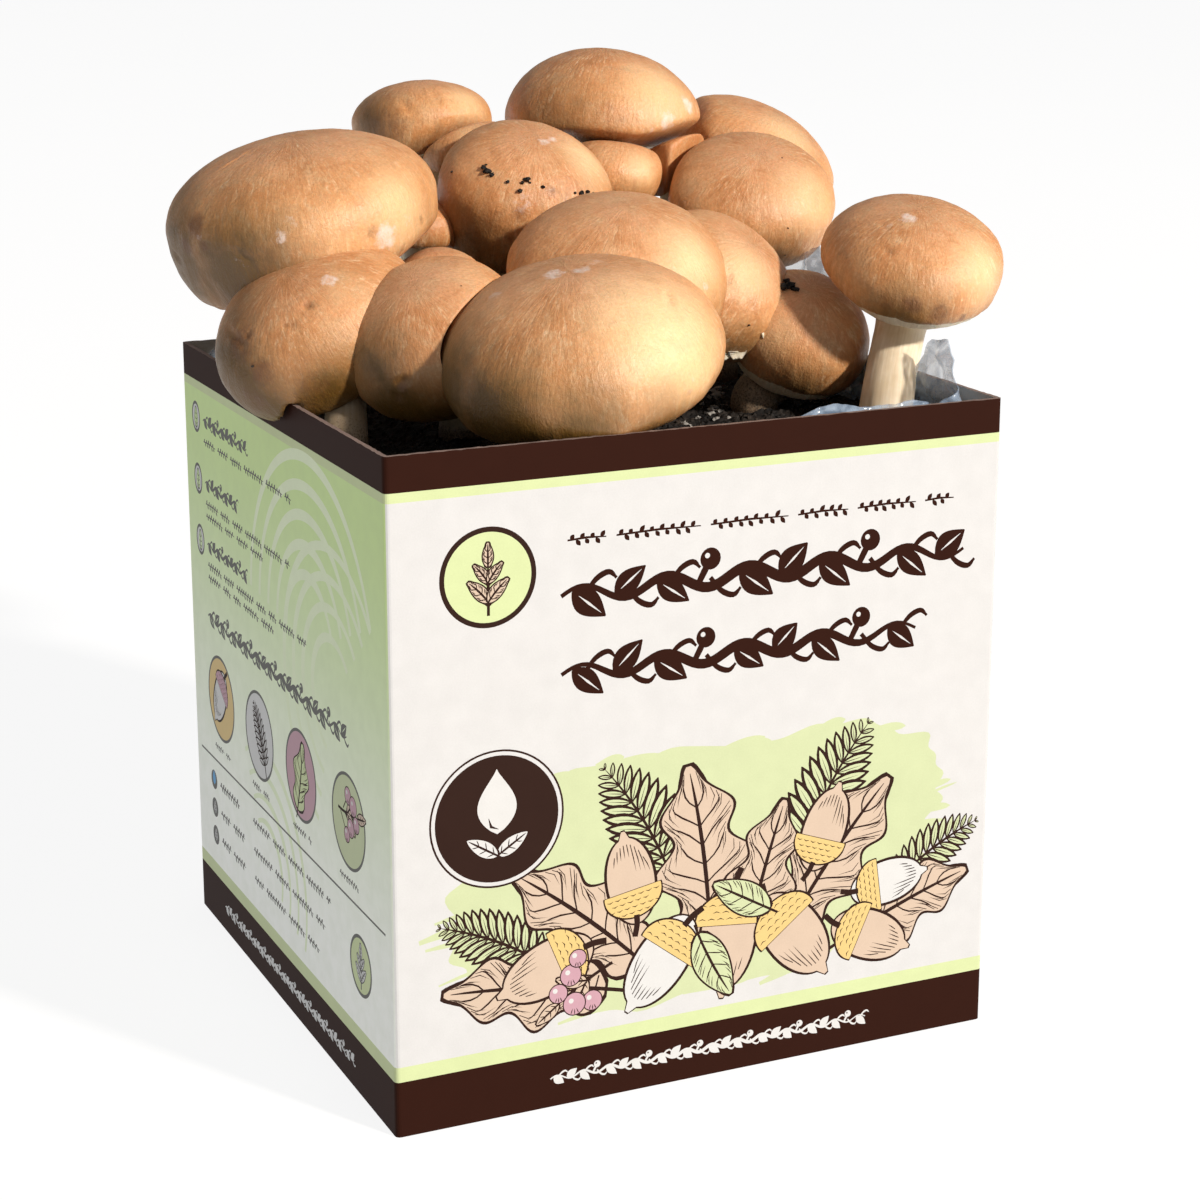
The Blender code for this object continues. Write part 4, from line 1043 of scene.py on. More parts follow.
def bag_mesh():
    """The film: up from the middle of its floor, along the walls, and into the crumpled collar."""
    half = CARTON_SIDE / 2 - BOARD - CLEARANCE
    floor = 2 * BOARD + CLEARANCE
    wall_top = SOIL_LEVEL - BAG_WALL_DROP
    columns = 4 * (BAG_SIDE_COLUMNS + BAG_CORNER_COLUMNS)
    heights = [*np.linspace(floor, wall_top, BAG_WALL_ROWS), *([0.0] * BAG_COLLAR_ROWS)]
    places = [(0.0, 0.0, floor)] * columns
    for row, height in enumerate(heights):
        rise = max(row - BAG_WALL_ROWS + 1, 0) / BAG_COLLAR_ROWS
        for column in range(columns):
            point, out = on_bag_wall(column, half)
            if not rise:
                places.append((*point, height))
                continue
            heading = degrees(atan2(point.y, point.x))
            rim = np.interp(heading, *zip(*BAG_RIM)) * MM
            rim += BAG_RAGGED * noise.noise(Vector((point.x, point.y, 0)) / BAG_CORNER)
            rim += BAG_NICK * noise.noise(Vector((point.x, point.y, 4)) / BAG_NICK_SIZE)
            up = wall_top + (rim - wall_top) * rise
            here = Vector((point.x, point.y, up))
            crease = sum(depth * abs(noise.noise(here / (size * MM))) for depth, size in BAG_CREASES)
            lean = np.interp(heading, *zip(*BAG_LEAN)) * MM
            inward = BAG_CRUMPLE * smooth(rise, 0.0, 0.3) * crease + lean * smooth(rise, 0.3, 1.0)
            places.append((*(point - out * inward), up))
    mesh = grid_mesh("bag", np.array(places), len(heights) + 1, columns, close_columns=True)
    solid_mesh(mesh, WELD)
    holder = bpy.data.objects.new("holder", mesh)
    bpy.context.scene.collection.objects.link(holder)
    film = holder.modifiers.new("film", "SOLIDIFY")
    film.thickness = FILM
    film.offset = -1.0
    bpy.context.view_layer.update()
    ready = holder.evaluated_get(bpy.context.evaluated_depsgraph_get())
    thick = bpy.data.meshes.new_from_object(ready)
    bpy.data.objects.remove(holder)
    thick.shade_smooth()
    return thick


def rim_height(x, y):
    """Height of the carton's rim, where the lid was torn off along its perforation."""
    fray = noise.noise(Vector((x, y, 9)) / RIM_FRAY_SIZE)
    tear = noise.noise(Vector((x, y, 0)) / RIM_TEAR_SIZE) + 0.7 * fray
    return CARTON_HEIGHT - RIM_TEAR * (0.55 + 0.45 * tear)


def side_line(depth, rounding):
    """Points round the carton at a depth under its outer face, anticlockwise from the front's left end: for
    each side, a list of its straight part's points and then the fold's inner points."""
    half = CARTON_SIDE / 2 - depth
    straight = half - rounding
    loop = []
    for quarter in range(4):
        turn = Matrix.Rotation(quarter * pi / 2, 2)
        side = [turn @ Vector((straight * (2 * step / RIM_STEPS - 1), -half))
                for step in range(RIM_STEPS + 1)]
        fold = []
        for step in range(1, FOLD_STEPS):
            angle = pi / 2 * step / FOLD_STEPS
            fold.append(turn @ Vector((straight + rounding * sin(angle), -straight - rounding * cos(angle))))
        loop.append((side, fold))
    return loop


def crosses_itself(outline):
    """Whether any two sides of an outline cross."""
    a = np.array(outline)
    b = np.roll(a, -1, axis=0)

    def side(start, end, point):
        way, off = (end - start)[:, None], point[None] - start[:, None]
        return way[..., 0] * off[..., 1] - way[..., 1] * off[..., 0]

    over = (side(a, b, a) * side(a, b, b) < -1e-12)
    return bool((over & over.T).any())


def plain_pieces(outline):
    """An outline as simple ones, anticlockwise: itself, or if it crosses itself the triangles between its one
    half and its other, which run side by side."""
    whole = [tuple(point) for point in outline]
    parts = [whole]
    if crosses_itself(whole):
        parts = []
        for at in range(len(whole) // 2 - 1):
            parts += [[whole[at], whole[at + 1], whole[-2 - at]], [whole[at], whole[-2 - at], whole[-1 - at]]]
    made = []
    for part in parts:
        area = sum(a[0] * b[1] - b[0] * a[1] for a, b in zip(part, part[1:] + part[:1])) / 2
        if abs(area) > PRINT_SPECK:
            made.append(part if area > 0 else part[::-1])
    return made


def print_panel(shapes, corners):
    """A flat panel cut into triangles along every edge of its print: points, triangles and their inks.
    The panel's outline is corners, and a later shape lies over an earlier one."""
    points = [Vector(corner) for corner in corners]
    outlines, inks = [list(range(len(points)))], [None]
    for ink, outline in shapes:
        for piece in plain_pieces(outline):
            outlines.append(list(range(len(points), len(points) + len(piece))))
            inks.append(ink)
            points += [Vector(corner) for corner in piece]
    # The 1 asks for the triangles inside the outlines, each with the outlines that it lies in
    cut = geometry.delaunay_2d_cdt(points, [], outlines, 1, PRINT_WELD)
    flat, faces, from_faces = cut[0], cut[2], cut[5]
    inside = [(face, max(sources)) for face, sources in zip(faces, from_faces) if 0 in sources]
    return flat, [face for face, top in inside], [inks[top] for face, top in inside]


def along(point, quarter):
    """How far along its panel, from left to right seen from outside, a point of the carton's side lies."""
    return (Matrix.Rotation(-quarter * pi / 2, 2) @ Vector(point[:2])).x


def band_shapes(base):
    """The bands that go round the carton, above and below a panel's base ink."""
    edge = (CARTON_SIDE / 2 - FOLD_RADIUS) / MM
    bands = (("brown", 0, LOW_BAND_TOP), ("line_green", LOW_BAND_TOP, LOW_LINE_TOP),
             (base, LOW_LINE_TOP, HIGH_LINE_LOW), ("line_green", HIGH_LINE_LOW, HIGH_BAND_LOW),
             ("brown", HIGH_BAND_LOW, PAST_RIM))
    return [(ink, [(-edge, low), (edge, low), (edge, high), (-edge, high)]) for ink, low, high in bands]


def carton_mesh(prints):
    """The open box of folded board, with a ragged rim and the print cut into its four outer panels.
    prints gives each panel's base ink and shapes, from the front on anticlockwise."""
    bm = bmesh.new()
    levels = [0.0, LOW_BAND_TOP * MM, LOW_LINE_TOP * MM, HIGH_LINE_LOW * MM, HIGH_BAND_LOW * MM, None]
    outer = side_line(0.0, FOLD_RADIUS)
    inner = side_line(BOARD, INNER_FOLD)

    def corners_at(line, height=None):
        return [bm.verts.new((*at, rim_height(*at) if height is None else height)) for at in line]

    def face(corners, ink):
        bm.faces.new(corners).material_index = INKS.index(ink)

    rings = {level: [(corners_at(side if level is None else (side[0], side[-1]), level),
                      corners_at(fold, level)) for side, fold in outer] for level in levels}
    top_in = [corners_at(side + fold) for side, fold in inner]
    low_in = [corners_at(side + fold, 2 * BOARD) for side, fold in inner]
    for quarter in range(4):
        following = (quarter + 1) % 4
        for band, (low, high) in enumerate(zip(levels, levels[1:])):
            below, above = ([rings[level][quarter][0][-1], *rings[level][quarter][1],
                             rings[level][following][0][0]] for level in (low, high))
            for step in range(FOLD_STEPS):
                base = prints[quarter if step < FOLD_STEPS / 2 else following][0]
                ink = ("brown", "line_green", base, "line_green", "brown")[band]
                face((below[step], below[step + 1], above[step + 1], above[step]), ink)
        border = rings[0.0][quarter][0] + [rings[level][quarter][0][-1] for level in levels[1:-1]]
        border += rings[None][quarter][0][::-1] + [rings[level][quarter][0][0] for level in levels[-2:0:-1]]
        corners = [(along(vertex.co, quarter) / MM, vertex.co.z / MM) for vertex in border]
        base, shapes = prints[quarter]
        flat, faces, inks = print_panel(band_shapes(base) + shapes, corners)
        made = dict(enumerate(border))
        turn = Matrix.Rotation(quarter * pi / 2, 2)
        for corners_of, ink in zip(faces, inks):
            for at in corners_of:
                if at not in made:
                    here = turn @ Vector((flat[at].x * MM, -CARTON_SIDE / 2))
                    made[at] = bm.verts.new((*here, flat[at].y * MM))
            face([made[at] for at in corners_of], ink or base)
        rim_out = rings[None][quarter][0] + rings[None][quarter][1] + [rings[None][following][0][0]]
        rim_in = top_in[quarter] + [top_in[following][0]]
        wall = low_in[quarter] + [low_in[following][0]]
        for step in range(len(rim_out) - 1):
            face((rim_out[step], rim_out[step + 1], rim_in[step + 1], rim_in[step]), "cut")
            face((rim_in[step], rim_in[step + 1], wall[step + 1], wall[step]), "raw")
    face([vertex for part in low_in for vertex in part], "raw")

    # The bottom, with a slot between its two outer flaps
    base = [vertex for side, fold in rings[0.0] for vertex in side + fold]
    reach = CARTON_SIDE / 2 - BOARD
    slot = [(-reach, FLAP_EDGE_Y), (reach, FLAP_EDGE_Y), (reach, FLAP_EDGE_Y + FLAP_SLOT),
            (-reach, FLAP_EDGE_Y + FLAP_SLOT)]
    flat, faces, inks = print_panel([("raw", slot)], [vertex.co[:2] for vertex in base])
    low, high = (corners_at(slot, height) for height in (0.0, BOARD))
    for corners_of, ink in zip(faces, inks):
        face([(base + (high if ink else low))[at] for at in corners_of], "raw")
    for step in range(4):
        face((low[step], low[step - 1], high[step - 1], high[step]), "raw")
    bmesh.ops.recalc_face_normals(bm, faces=bm.faces)
    return mesh_of(bm, "carton")


def put(points, x, z, angle=0.0, size=1.0):
    """Points turned by an angle in degrees, scaled, and moved to a place on the panel."""
    turn = radians(angle)
    return [(x + size * (u * cos(turn) - v * sin(turn)), z + size * (u * sin(turn) + v * cos(turn)))
            for u, v in points]


def disc(x, z, radius, flat=1.0, angle=0.0, steps=40):
    """An ellipse, flat being its height over its width."""
    turns = [2 * pi * step / steps for step in range(steps)]
    return put([(radius * cos(turn), radius * flat * sin(turn)) for turn in turns], x, z, angle)


def mirrored(half):
    """A closed outline from its upper half, which runs from left to right."""
    return half + [(u, -v) for u, v in half[::-1]]


def arched(length, bend, shares):
    """Points at these shares of a stalk bowed by a quarter of bend times its length."""
    return [(length * share, bend * length * (share * share - share)) for share in shares]


def flowing(points, steps=7):
    """A soft line through points."""
    knots = [np.array(point, float) for point in points]
    knots = [2 * knots[0] - knots[1], *knots, 2 * knots[-1] - knots[-2]]
    line = []
    for a, b, c, d in zip(knots, knots[1:], knots[2:], knots[3:]):
        for share in np.arange(steps) / steps:
            line.append(tuple(0.5 * (2 * b + (c - a) * share + (2 * a - 5 * b + 4 * c - d) * share ** 2
                                     + (3 * b - a - 3 * c + d) * share ** 3)))
    return line + [tuple(knots[-2])]


def stroke(line, width, start=0.15, end=0.15):
    """The outline of a pen stroke along a line, thinner at its start and end."""
    line = np.array(line, float)
    way = np.gradient(line, axis=0)
    side = np.stack([-way[:, 1], way[:, 0]], axis=1) / np.maximum(np.hypot(*way.T), 1e-9)[:, None]
    share = np.linspace(0, 1, len(line))
    swell = np.sin(pi * share) ** 0.5
    half = width / 2 * np.maximum(swell, np.where(share < 0.5, start, end))
    return [tuple(point) for point in np.concatenate([line + side * half[:, None],
                                                      (line - side * half[:, None])[::-1]])]


def leaf(x, z, angle, length, width, lobes=0, bend=0.0, fill="beige", ink="line", hatch=True):
    """A leaf as an engraver cuts it: a dark rim, a flat fill, ribs, and fine hatching on its shaded half."""
    def at(share, side):
        body = width / 2 * max(sin(pi * max(share, 0) ** 0.8), 0) ** 0.75
        half = body * (0.86 + 0.24 * cos(2 * pi * lobes * (share - 0.08))) if lobes else body
        return length * share, half * side + bend * length * (share * share - share)

    steps = 16 + 10 * lobes
    shares = [0.01 + 0.98 * step / steps for step in range(steps + 1)]
    rim = [at(share, 1) for share in shares] + [at(share, -1) for share in shares[::-1]]
    edge = 0.32 + 0.012 * length
    far = [(u + (1 if share > 0.9 else -1 if share < 0.1 else 0) * edge, v + edge * side)
           for side, run in ((1, shares), (-1, shares[::-1])) for share in run for u, v in (at(share, side),)]
    midrib = [at(share, 0) for share in np.linspace(-0.14, 0.95, 14)]
    shapes = [(ink, far), (fill, rim), (ink, stroke(midrib, 0.5 + 0.016 * length, 0.9))]
    ribs = lobes * 2 + 1 if lobes else max(3, int(length / 5))
    for rib in range(ribs):
        low = 0.10 + 0.76 * rib / ribs
        for side in (1, -1):
            run = [at(low + 0.15 * share, side * 0.86 * share) for share in np.linspace(0, 1, 5)]
            shapes.append((ink, stroke(run, 0.26 + 0.006 * length, 0.8, 0.1)))
            for line in range(1, 4 if hatch else 1):
                start = low + 0.76 / ribs * line / 4
                deep = (0.50 if side < 0 else 0.25) + 0.10 * (line % 2)
                first = 0.97 if side < 0 else 0.96
                run = [at(start + 0.13 * share, side * (first - deep * (1 - share)))
                       for share in (0, 0.5, 0.92)]
                shapes.append((ink, stroke(run, 0.30, 0.1, 0.7)))
    return [(name, put(points, x, z, angle)) for name, points in shapes]


def sprig(x, z, angle, length, pairs, size, fill, ink="line", bend=0.12, hatch=False):
    """A stalk with pairs of leaves along it and one at its tip."""
    line = arched(length, bend, np.linspace(0, 1, 16))
    shapes = [(ink, put(stroke(line, 0.5 + 0.05 * size, 0.9, 0.4), x, z, angle))]
    for pair in range(pairs):
        share = (pair + 0.7) / (pairs + 0.5)
        near = size * (1 - 0.45 * share)
        root = put(arched(length, bend, [share]), x, z, angle)[0]
        for side in (1, -1):
            shapes += leaf(*root, angle + side * (48 - 14 * share), near, near * 0.42, fill=fill, ink=ink,
                           hatch=hatch, bend=0.15 * side)
    root = put([line[-1]], x, z, angle)[0]
    return shapes + leaf(*root, angle + degrees(bend), size * 0.7, size * 0.3, fill=fill, ink=ink,
                         hatch=hatch)


def acorn(x, z, angle, size, fill="beige", ink="line", cup="ochre"):
    """An acorn, point first: a hatched nut in a scaly cup on its stalk."""
    nut = []
    for turn in np.linspace(-pi, pi, 44)[:-1]:
        point = size * 0.10 if abs(turn) < 0.2 else 0
        nut.append((size * (0.02 + 0.62 * cos(turn)) + point, size * 0.34 * sin(turn)))
    rim = [(u + (0.5 if u > 0 else -0.5), v * (1 + 0.9 / size / 0.34)) for u, v in nut]
    shapes = [(ink, rim), (fill, nut)]
    for line in range(9):
        across = -0.30 + 0.067 * line
        reach = 0.55 * max(1 - (across / 0.36) ** 2, 0) ** 0.5
        deep = 0.75 if across < -0.05 else 0.35
        run = [(size * reach * share, size * across * (1 - 0.25 * share ** 2))
               for share in (1 - deep, 1 - deep / 2, 1)]
        shapes.append((ink, stroke(run, 0.34, 0.1, 0.8)))
    dome = [(size * (-0.16 - 0.34 * max(cos(turn), -0.12)), size * 0.42 * sin(turn))
            for turn in np.linspace(-1.75, 1.75, 30)]
    shapes += [(ink, [(u - (0.5 if u < -size * 0.2 else -0.2), v * 1.05) for u, v in dome]), (cup, dome)]
    for row in range(4):
        for place in range(-3 + row % 2, 4):
            u, v = -0.16 - 0.08 * row, 0.115 * (place + (0.5 if row % 2 else 0))
            if abs(v) < 0.40 * (1 - (row / 5.2) ** 2) ** 0.5:
                scale = [(size * (u + 0.04 * cos(turn)), size * (v + 0.055 * sin(turn)))
                         for turn in (-2.2, -pi, 2.2)]
                shapes.append((ink, stroke(scale, 0.34, 0.3, 0.3)))
    stalk = [(-size * 0.48, 0), (-size * 0.62, size * 0.02), (-size * 0.78, size * 0.08)]
    shapes.append((ink, stroke(flowing(stalk, 4), 0.07 * size + 0.3, 1, 1)))
    return [(name, put(points, x, z, angle)) for name, points in shapes]


def fern(x, z, angle, length, bend=0.25, pairs=13, fill="wash", ink="line"):
    """A fern frond: narrow leaflets that shrink towards its tip."""
    shapes = []
    for pair in range(pairs, -1, -1):
        share = 0.12 + 0.88 * pair / pairs
        near = length * 0.27 * max(sin(pi * (0.18 + 0.80 * share)), 0) ** 0.9 + 0.8
        root = put(arched(length, bend, [share]), x, z, angle)[0]
        rim = mirrored([(near * step, 0.15 * near * sin(pi * step) ** 0.8 + 0.16)
                        for step in np.linspace(0, 1, 7)])
        core = mirrored([(near * (0.06 + 0.84 * step), 0.085 * near * sin(pi * step) ** 0.8)
                         for step in np.linspace(0.02, 0.98, 6)])
        midrib = stroke([(near * step, 0) for step in (0, 0.3, 0.7)], 0.26, 0.9)
        for side in (1, -1):
            way = angle + degrees(bend) * (2 * share - 1) + side * (66 - 26 * share)
            shapes += [(name, put(points, *root, way)) for name, points in
                       ((ink, rim), (fill, core), (ink, midrib))]
    line = arched(length, bend, np.linspace(-0.06, 1, 18))
    return shapes + [(ink, put(stroke(line, 0.9, 0.9, 0.2), x, z, angle))]


def berries(x, z, angle, size, fill="mauve", ink="line"):
    """A twig with a leaf and round berries, each with a highlight."""
    shapes = sprig(x, z, angle, size, 1, size * 0.62, "beige", ink)
    for out, across, share in ((0.55, 0.30, 0.15), (0.80, 0.16, 0.17), (0.62, -0.26, 0.16),
                               (0.92, -0.14, 0.14), (0.40, -0.42, 0.13)):
        u, v = put([(size * out, size * across)], x, z, angle)[0]
        root = put([(size * (out - 0.28), across * size * 0.1)], x, z, angle)[0]
        radius = size * share
        shapes += [(ink, stroke([root, ((root[0] + u) / 2, (root[1] + v) / 2), (u, v)], 0.5, 1, 1)),
                   (ink, disc(u, v, radius + 0.35, steps=22)), (fill, disc(u, v, radius, steps=22))]
        for line in range(3):
            turn = radians(250 + 22 * line)
            run = [(u + radius * part * cos(turn), v + radius * part * sin(turn))
                   for part in (0.45, 0.7, 0.95)]
            shapes.append((ink, stroke(run, 0.3, 0.1, 0.8)))
        shapes.append(("white", disc(u - size * 0.05, v + size * 0.05, size * 0.04, steps=10)))
    return shapes


def wash(x0, x1, z0, z1, seed, ink="wash"):
    """A brush wash with ragged, dry ends: a lumpy patch and the strokes that frayed out of it."""
    chance = np.random.default_rng(seed)
    middle_x, middle_z, half_x, half_z = (x0 + x1) / 2, (z0 + z1) / 2, (x1 - x0) / 2, (z1 - z0) / 2
    waves = [(turns, chance.uniform(0, 2 * pi), chance.uniform(0.5, 1) * 0.10 / turns ** 0.55) for turns in
             (2, 3, 5, 8, 13, 21, 34)]
    rim = []
    for step in range(WASH_STEPS):
        turn = 2 * pi * step / WASH_STEPS
        grow = 0.90 + sum(height * sin(turns * turn + phase) for turns, phase, height in waves)
        rim.append((middle_x + half_x * grow * np.sign(cos(turn)) * abs(cos(turn)) ** 0.72,
                    middle_z + half_z * grow * np.sign(sin(turn)) * abs(sin(turn)) ** 0.80))
    shapes = [(ink, rim)]
    for _ in range(WASH_STROKES):
        at = rim[int(chance.integers(0, WASH_STEPS))]
        length, width = chance.uniform(8, 22), chance.uniform(0.8, 3.2)
        run = put([(-length * 0.6, 0), (0, 0.4), (length * 0.4, 0)], *at, 8 + chance.uniform(-9, 9))
        if all(x0 - 2 < u < x1 + 2 and z0 - 2 < v < z1 + 2 for u, v in run):
            shapes.append((ink, stroke(flowing(run, 4), width, 0.5, 0.1)))
    return shapes


def vine(x0, x1, z, height, ink="brown", rib="board", seed=1):
    """A heavy running ornament: a waving stem with leaves, buds and tendrils on either side."""
    chance = np.random.default_rng(seed)
    count = max(2, round((x1 - x0) / (0.80 * height)))
    step = (x1 - x0) / count
    line = [(x0 + (x1 - x0) * share, z + 0.15 * height * sin(pi * count * share)) for share in
            np.linspace(0, 1, 8 * count + 1)]
    shapes = [(ink, stroke(line, 0.20 * height, 0.4, 0.3))]
    for place in range(count):
        side = 1 if place % 2 else -1
        at = x0 + (place + 0.5) * step
        root = (at - 0.25 * step, z + 0.08 * height * -side)
        if place % 4 == 3:
            u, v = root[0] + 0.24 * height, z + side * 0.36 * height
            stalk = [root, ((root[0] + u) / 2, (root[1] + v) / 2), (u, v)]
            shapes += [(ink, stroke(stalk, 0.13 * height, 0.9, 0.9)),
                       (ink, disc(u, v, 0.20 * height, steps=20)),
                       (rib, disc(u - 0.06 * height, v + 0.06 * height, 0.05 * height, steps=10))]
        else:
            big, wide = height * chance.uniform(0.72, 0.86), height * chance.uniform(0.42, 0.50)
            way = side * chance.uniform(34, 44)
            half = [(big * share, wide / 2 * sin(pi * share ** 0.8)) for share in np.linspace(0.02, 0.98, 12)]
            shapes.append((ink, put(mirrored(half), *root, way)))
            if height > RIBBED_HEIGHT:
                midrib = stroke([(big * share, 0) for share in (0.2, 0.5, 0.85)], 0.045 * height)
                shapes.append((rib, put(midrib, *root, way)))
        tendril = [(at + ahead * step, z - side * below * height) for ahead, below in
                   ((0.05, -0.02), (0.32, 0.24), (0.62, 0.34), (0.80, 0.22))]
        shapes.append((ink, stroke(flowing(tendril, 4), 0.11 * height, 0.8, 0.5)))
    return shapes


def leaf_line(x0, x1, z, height, ink="grey", seed=1):
    """A fine running ornament: small leaves, in groups, on either side of a hairline."""
    chance = np.random.default_rng(seed)
    shapes = []
    at = x0
    while at < x1 - height:
        group = chance.uniform(2.5, 6.5) * height
        end = min(at + group, x1)
        hairline = [(at, z), ((at + end) / 2, z + 0.08 * height), (end, z)]
        shapes.append((ink, stroke(hairline, 0.16 * height, 0.8, 0.5)))
        place, side = at + 0.2 * height, 1
        while place < end - 0.4 * height:
            long = height * chance.uniform(0.42, 0.66)
            half = [(long * share, 0.17 * height * sin(pi * share)) for share in np.linspace(0.03, 0.97, 6)]
            shapes.append((ink, put(mirrored(half), place, z, side * 52)))
            place, side = place + height * chance.uniform(0.30, 0.44), -side
        at = end + 0.75 * height
    return shapes


def ringed(x, z, radius, inside, ink="line", fill="wash", rim=1.0):
    """A round vignette: a dark ring, a flat ground, and its picture."""
    return [(ink, disc(x, z, radius, steps=60)), (fill, disc(x, z, radius - rim, steps=60))] + inside


def drop(x, z, size, ink):
    """A falling drop of water."""
    side = [(size * 0.42 * sin(pi * share) ** 0.8 * (1 - share) ** 0.45 * 1.25, size * (share * 1.3 - 0.5))
            for share in np.linspace(0, 1, 18)]
    return [(ink, put(side + [(-u, v) for u, v in side[-2:0:-1]], x, z))]


def arcs(x, z, radii, width, start, end, ink="arc"):
    """Parts of rings round a point, from one heading to another in degrees."""
    turns = np.radians(np.linspace(start, end, 40))
    rings = [[(x + radius * cos(turn), z + radius * sin(turn)) for turn in turns] for radius in radii]
    return [(ink, stroke(ring, width, 0.6, 0.6)) for ring in rings]


# What lies over the wash, the lowest first: ferns by x, z, heading, length, bend and pairs of leaflets,
# leaves by x, z, heading, length, width, lobes, bend and fill, acorns and berries by x, z, heading and size
FRONT_PICTURE = (
    (fern, ((-8, 56, 118, 52, 0.22), (30, 58, 62, 52, -0.22), (-50, 44, 152, 38, 0.2),
            (64, 50, 30, 34, -0.2, 11))),
    (leaf, ((2, 44, 98, 56, 30, 3, 0.10), (-20, 40, 140, 54, 27, 3, 0.10), (28, 42, 52, 56, 28, 3, -0.10),
            (48, 36, 20, 46, 23, 3, -0.08), (-32, 34, 172, 52, 24, 3, 0.10), (14, 40, 74, 46, 22, 3, -0.05))),
    (acorn, ((-24, 66, 100, 22), (40, 72, 70, 21), (62, 52, 8, 20, "white"), (8, 44, -96, 27),
             (-14, 40, -128, 25, "white"), (30, 41, -52, 26), (-50, 44, -158, 24), (56, 36, -24, 22))),
    (berries, ((-30, 42, -150, 20),)),
    (leaf, ((-2, 46, -62, 24, 11, 0, 0.1, "wash"), (22, 50, 150, 22, 10, 0, 0.0, "wash"))),
)
BACK_PICTURE = (
    (fern, ((-10, 70, 140, 62), (10, 70, 40, 62, -0.25))),
    (leaf, ((0, 62, 90, 76, 38, 4, 0.06), (-8, 64, 158, 62, 30, 3, 0.1), (8, 64, 22, 62, 30, 3, -0.1))),
    (acorn, ((-14, 60, -130, 28), (14, 60, -50, 28), (0, 58, -92, 30, "white"))),
)


def draw_rows(picture):
    """The shapes of a picture given as (what draws, its rows)."""
    return [shape for draw, rows in picture for row in rows for shape in draw(*row)]


def front_print():
    """Front: a leaf emblem, two heavy vines, and oak, acorns and ferns engraved over a green wash."""
    shapes = wash(-89, 90, 25, 110, 4) + draw_rows(FRONT_PICTURE)
    shapes += [(ink, disc(-66, 92, radius, steps=64))
               for ink, radius in (("line", 20.6), ("board", 20.0), ("line", 18.9))]
    glint = stroke([(-68.6, 92.5), (-67.9, 89.9), (-65.6, 88.9)], 0.9)
    shapes += drop(-66, 95, 15, "white") + [("line", glint)]
    for angle in (32, 148):
        shapes += leaf(-66, 81, angle, 11, 4.6, fill="white", hatch=False)
    shapes += ringed(-68, 163, 14.5, [], fill="line_green", rim=1.5)
    shapes += sprig(-68, 152, 90, 14, 2, 10, "beige", hatch=True, bend=0)
    shapes += vine(-46, 86, 155, 16.5, seed=5) + vine(-46, 70, 132, 15.5, seed=9)
    shapes += leaf_line(-44, 82, 171, 4.2, "brown", 3)
    shapes += vine(-50, 56, 8.8, 5.4, "white", "brown", 12)
    return shapes


def side_print(seed, places):
    """A green side: three leaf-marked lines, four round vignettes, and a little row of signs."""
    shapes = arcs(30, 128, (22, 31, 40, 49, 58), 3.4, 20, 175) + arcs(50, 118, (18, 27, 36, 45), 3.2, 40, 250)
    shapes += arcs(-20, 40, (16, 24, 32, 40), 2.6, -20, 120)
    for row, (z, reach) in enumerate(((177, -28), (156, -34), (135, -20))):
        shapes += [("grey", disc(-84, z, 4.6, 1.15, steps=30)), ("white", disc(-84, z, 3.7, 1.15, steps=30))]
        shapes += leaf(-84, z - 3.4, 90, 6.6, 3.6, fill="side", ink="grey", hatch=False)
        shapes += vine(-76, reach - 6 * row, z, 6.0, "grey", "side", seed + row)
        shapes += leaf_line(-76, reach + 44 + 3 * row, z - 7.0, 3.2, "grey", seed + 7 + row)
        if row:
            shapes += leaf_line(-76, reach + 20, z - 11.2, 3.2, "grey", seed + 11 + row)
    shapes += vine(-78, 62, 110, 8.0, "grey", "side", seed + 20)
    pictures = (lambda x, z: acorn(x - 1, z + 1, 235, 17, fill="white", cup="mauve"),
                lambda x, z: fern(x + 6, z - 11, 118, 23, fill="white", bend=0.2, pairs=10),
                lambda x, z: leaf(x - 4, z - 12, 74, 24, 14, 2, 0.1, fill="line_green"),
                lambda x, z: berries(x - 9, z + 2, 5, 17, "mauve"))
    grounds = ("ochre", "white", "mauve", "wash")
    for place, (x, picture, ground) in enumerate(zip(places, pictures, grounds)):
        shapes += ringed(x, 84, 14.8, picture(x, 84), ink="grey", fill=ground, rim=1.0)
        shapes += leaf_line(x - 9, x + 9, 65.5, 2.6, "grey", seed + 30 + place)
    shapes.append(("grey", stroke([(-92, 60), (0, 60), (92, 60)], 0.7, 1, 1)))
    shapes += ringed(70, 42, 9.5, [], ink="grey", fill="line_green", rim=1.1)
    shapes += sprig(70, 34.6, 90, 9.5, 2, 7, "white", "grey", bend=0)
    for row, z in enumerate((52, 42, 32)):
        shapes += leaf_line(-34, 44 - 6 * row, z, 3.2, "grey", seed + 40 + row)
        shapes.append(("grey", disc(-78, z, 3.4, steps=24)))
        shapes += (drop(-78, z + 0.3, 4.2, "blue") if row == 0 else
                   leaf(-78, z - 2.2, 90, 4.6, 2.4, fill="white", ink="grey", hatch=False))
        shapes += leaf_line(-71, -44, z, 3.6, "grey", seed + 50 + row)
    shapes += vine(-70, 62, 8.6, 4.8, "white", "brown", seed + 60)
    return shapes


def back_print():
    """Back: a wide wash under one large oak sprig, between two vines."""
    shapes = wash(-84, 84, 46, 150, 8) + draw_rows(BACK_PICTURE)
    shapes += vine(-60, 60, 168, 11.0, seed=21) + leaf_line(-56, 56, 38, 4.2, "brown", 31)
    shapes += leaf_line(-44, 44, 31, 4.2, "brown", 33) + vine(-50, 56, 8.8, 5.4, "white", "brown", 14)
    return shapes


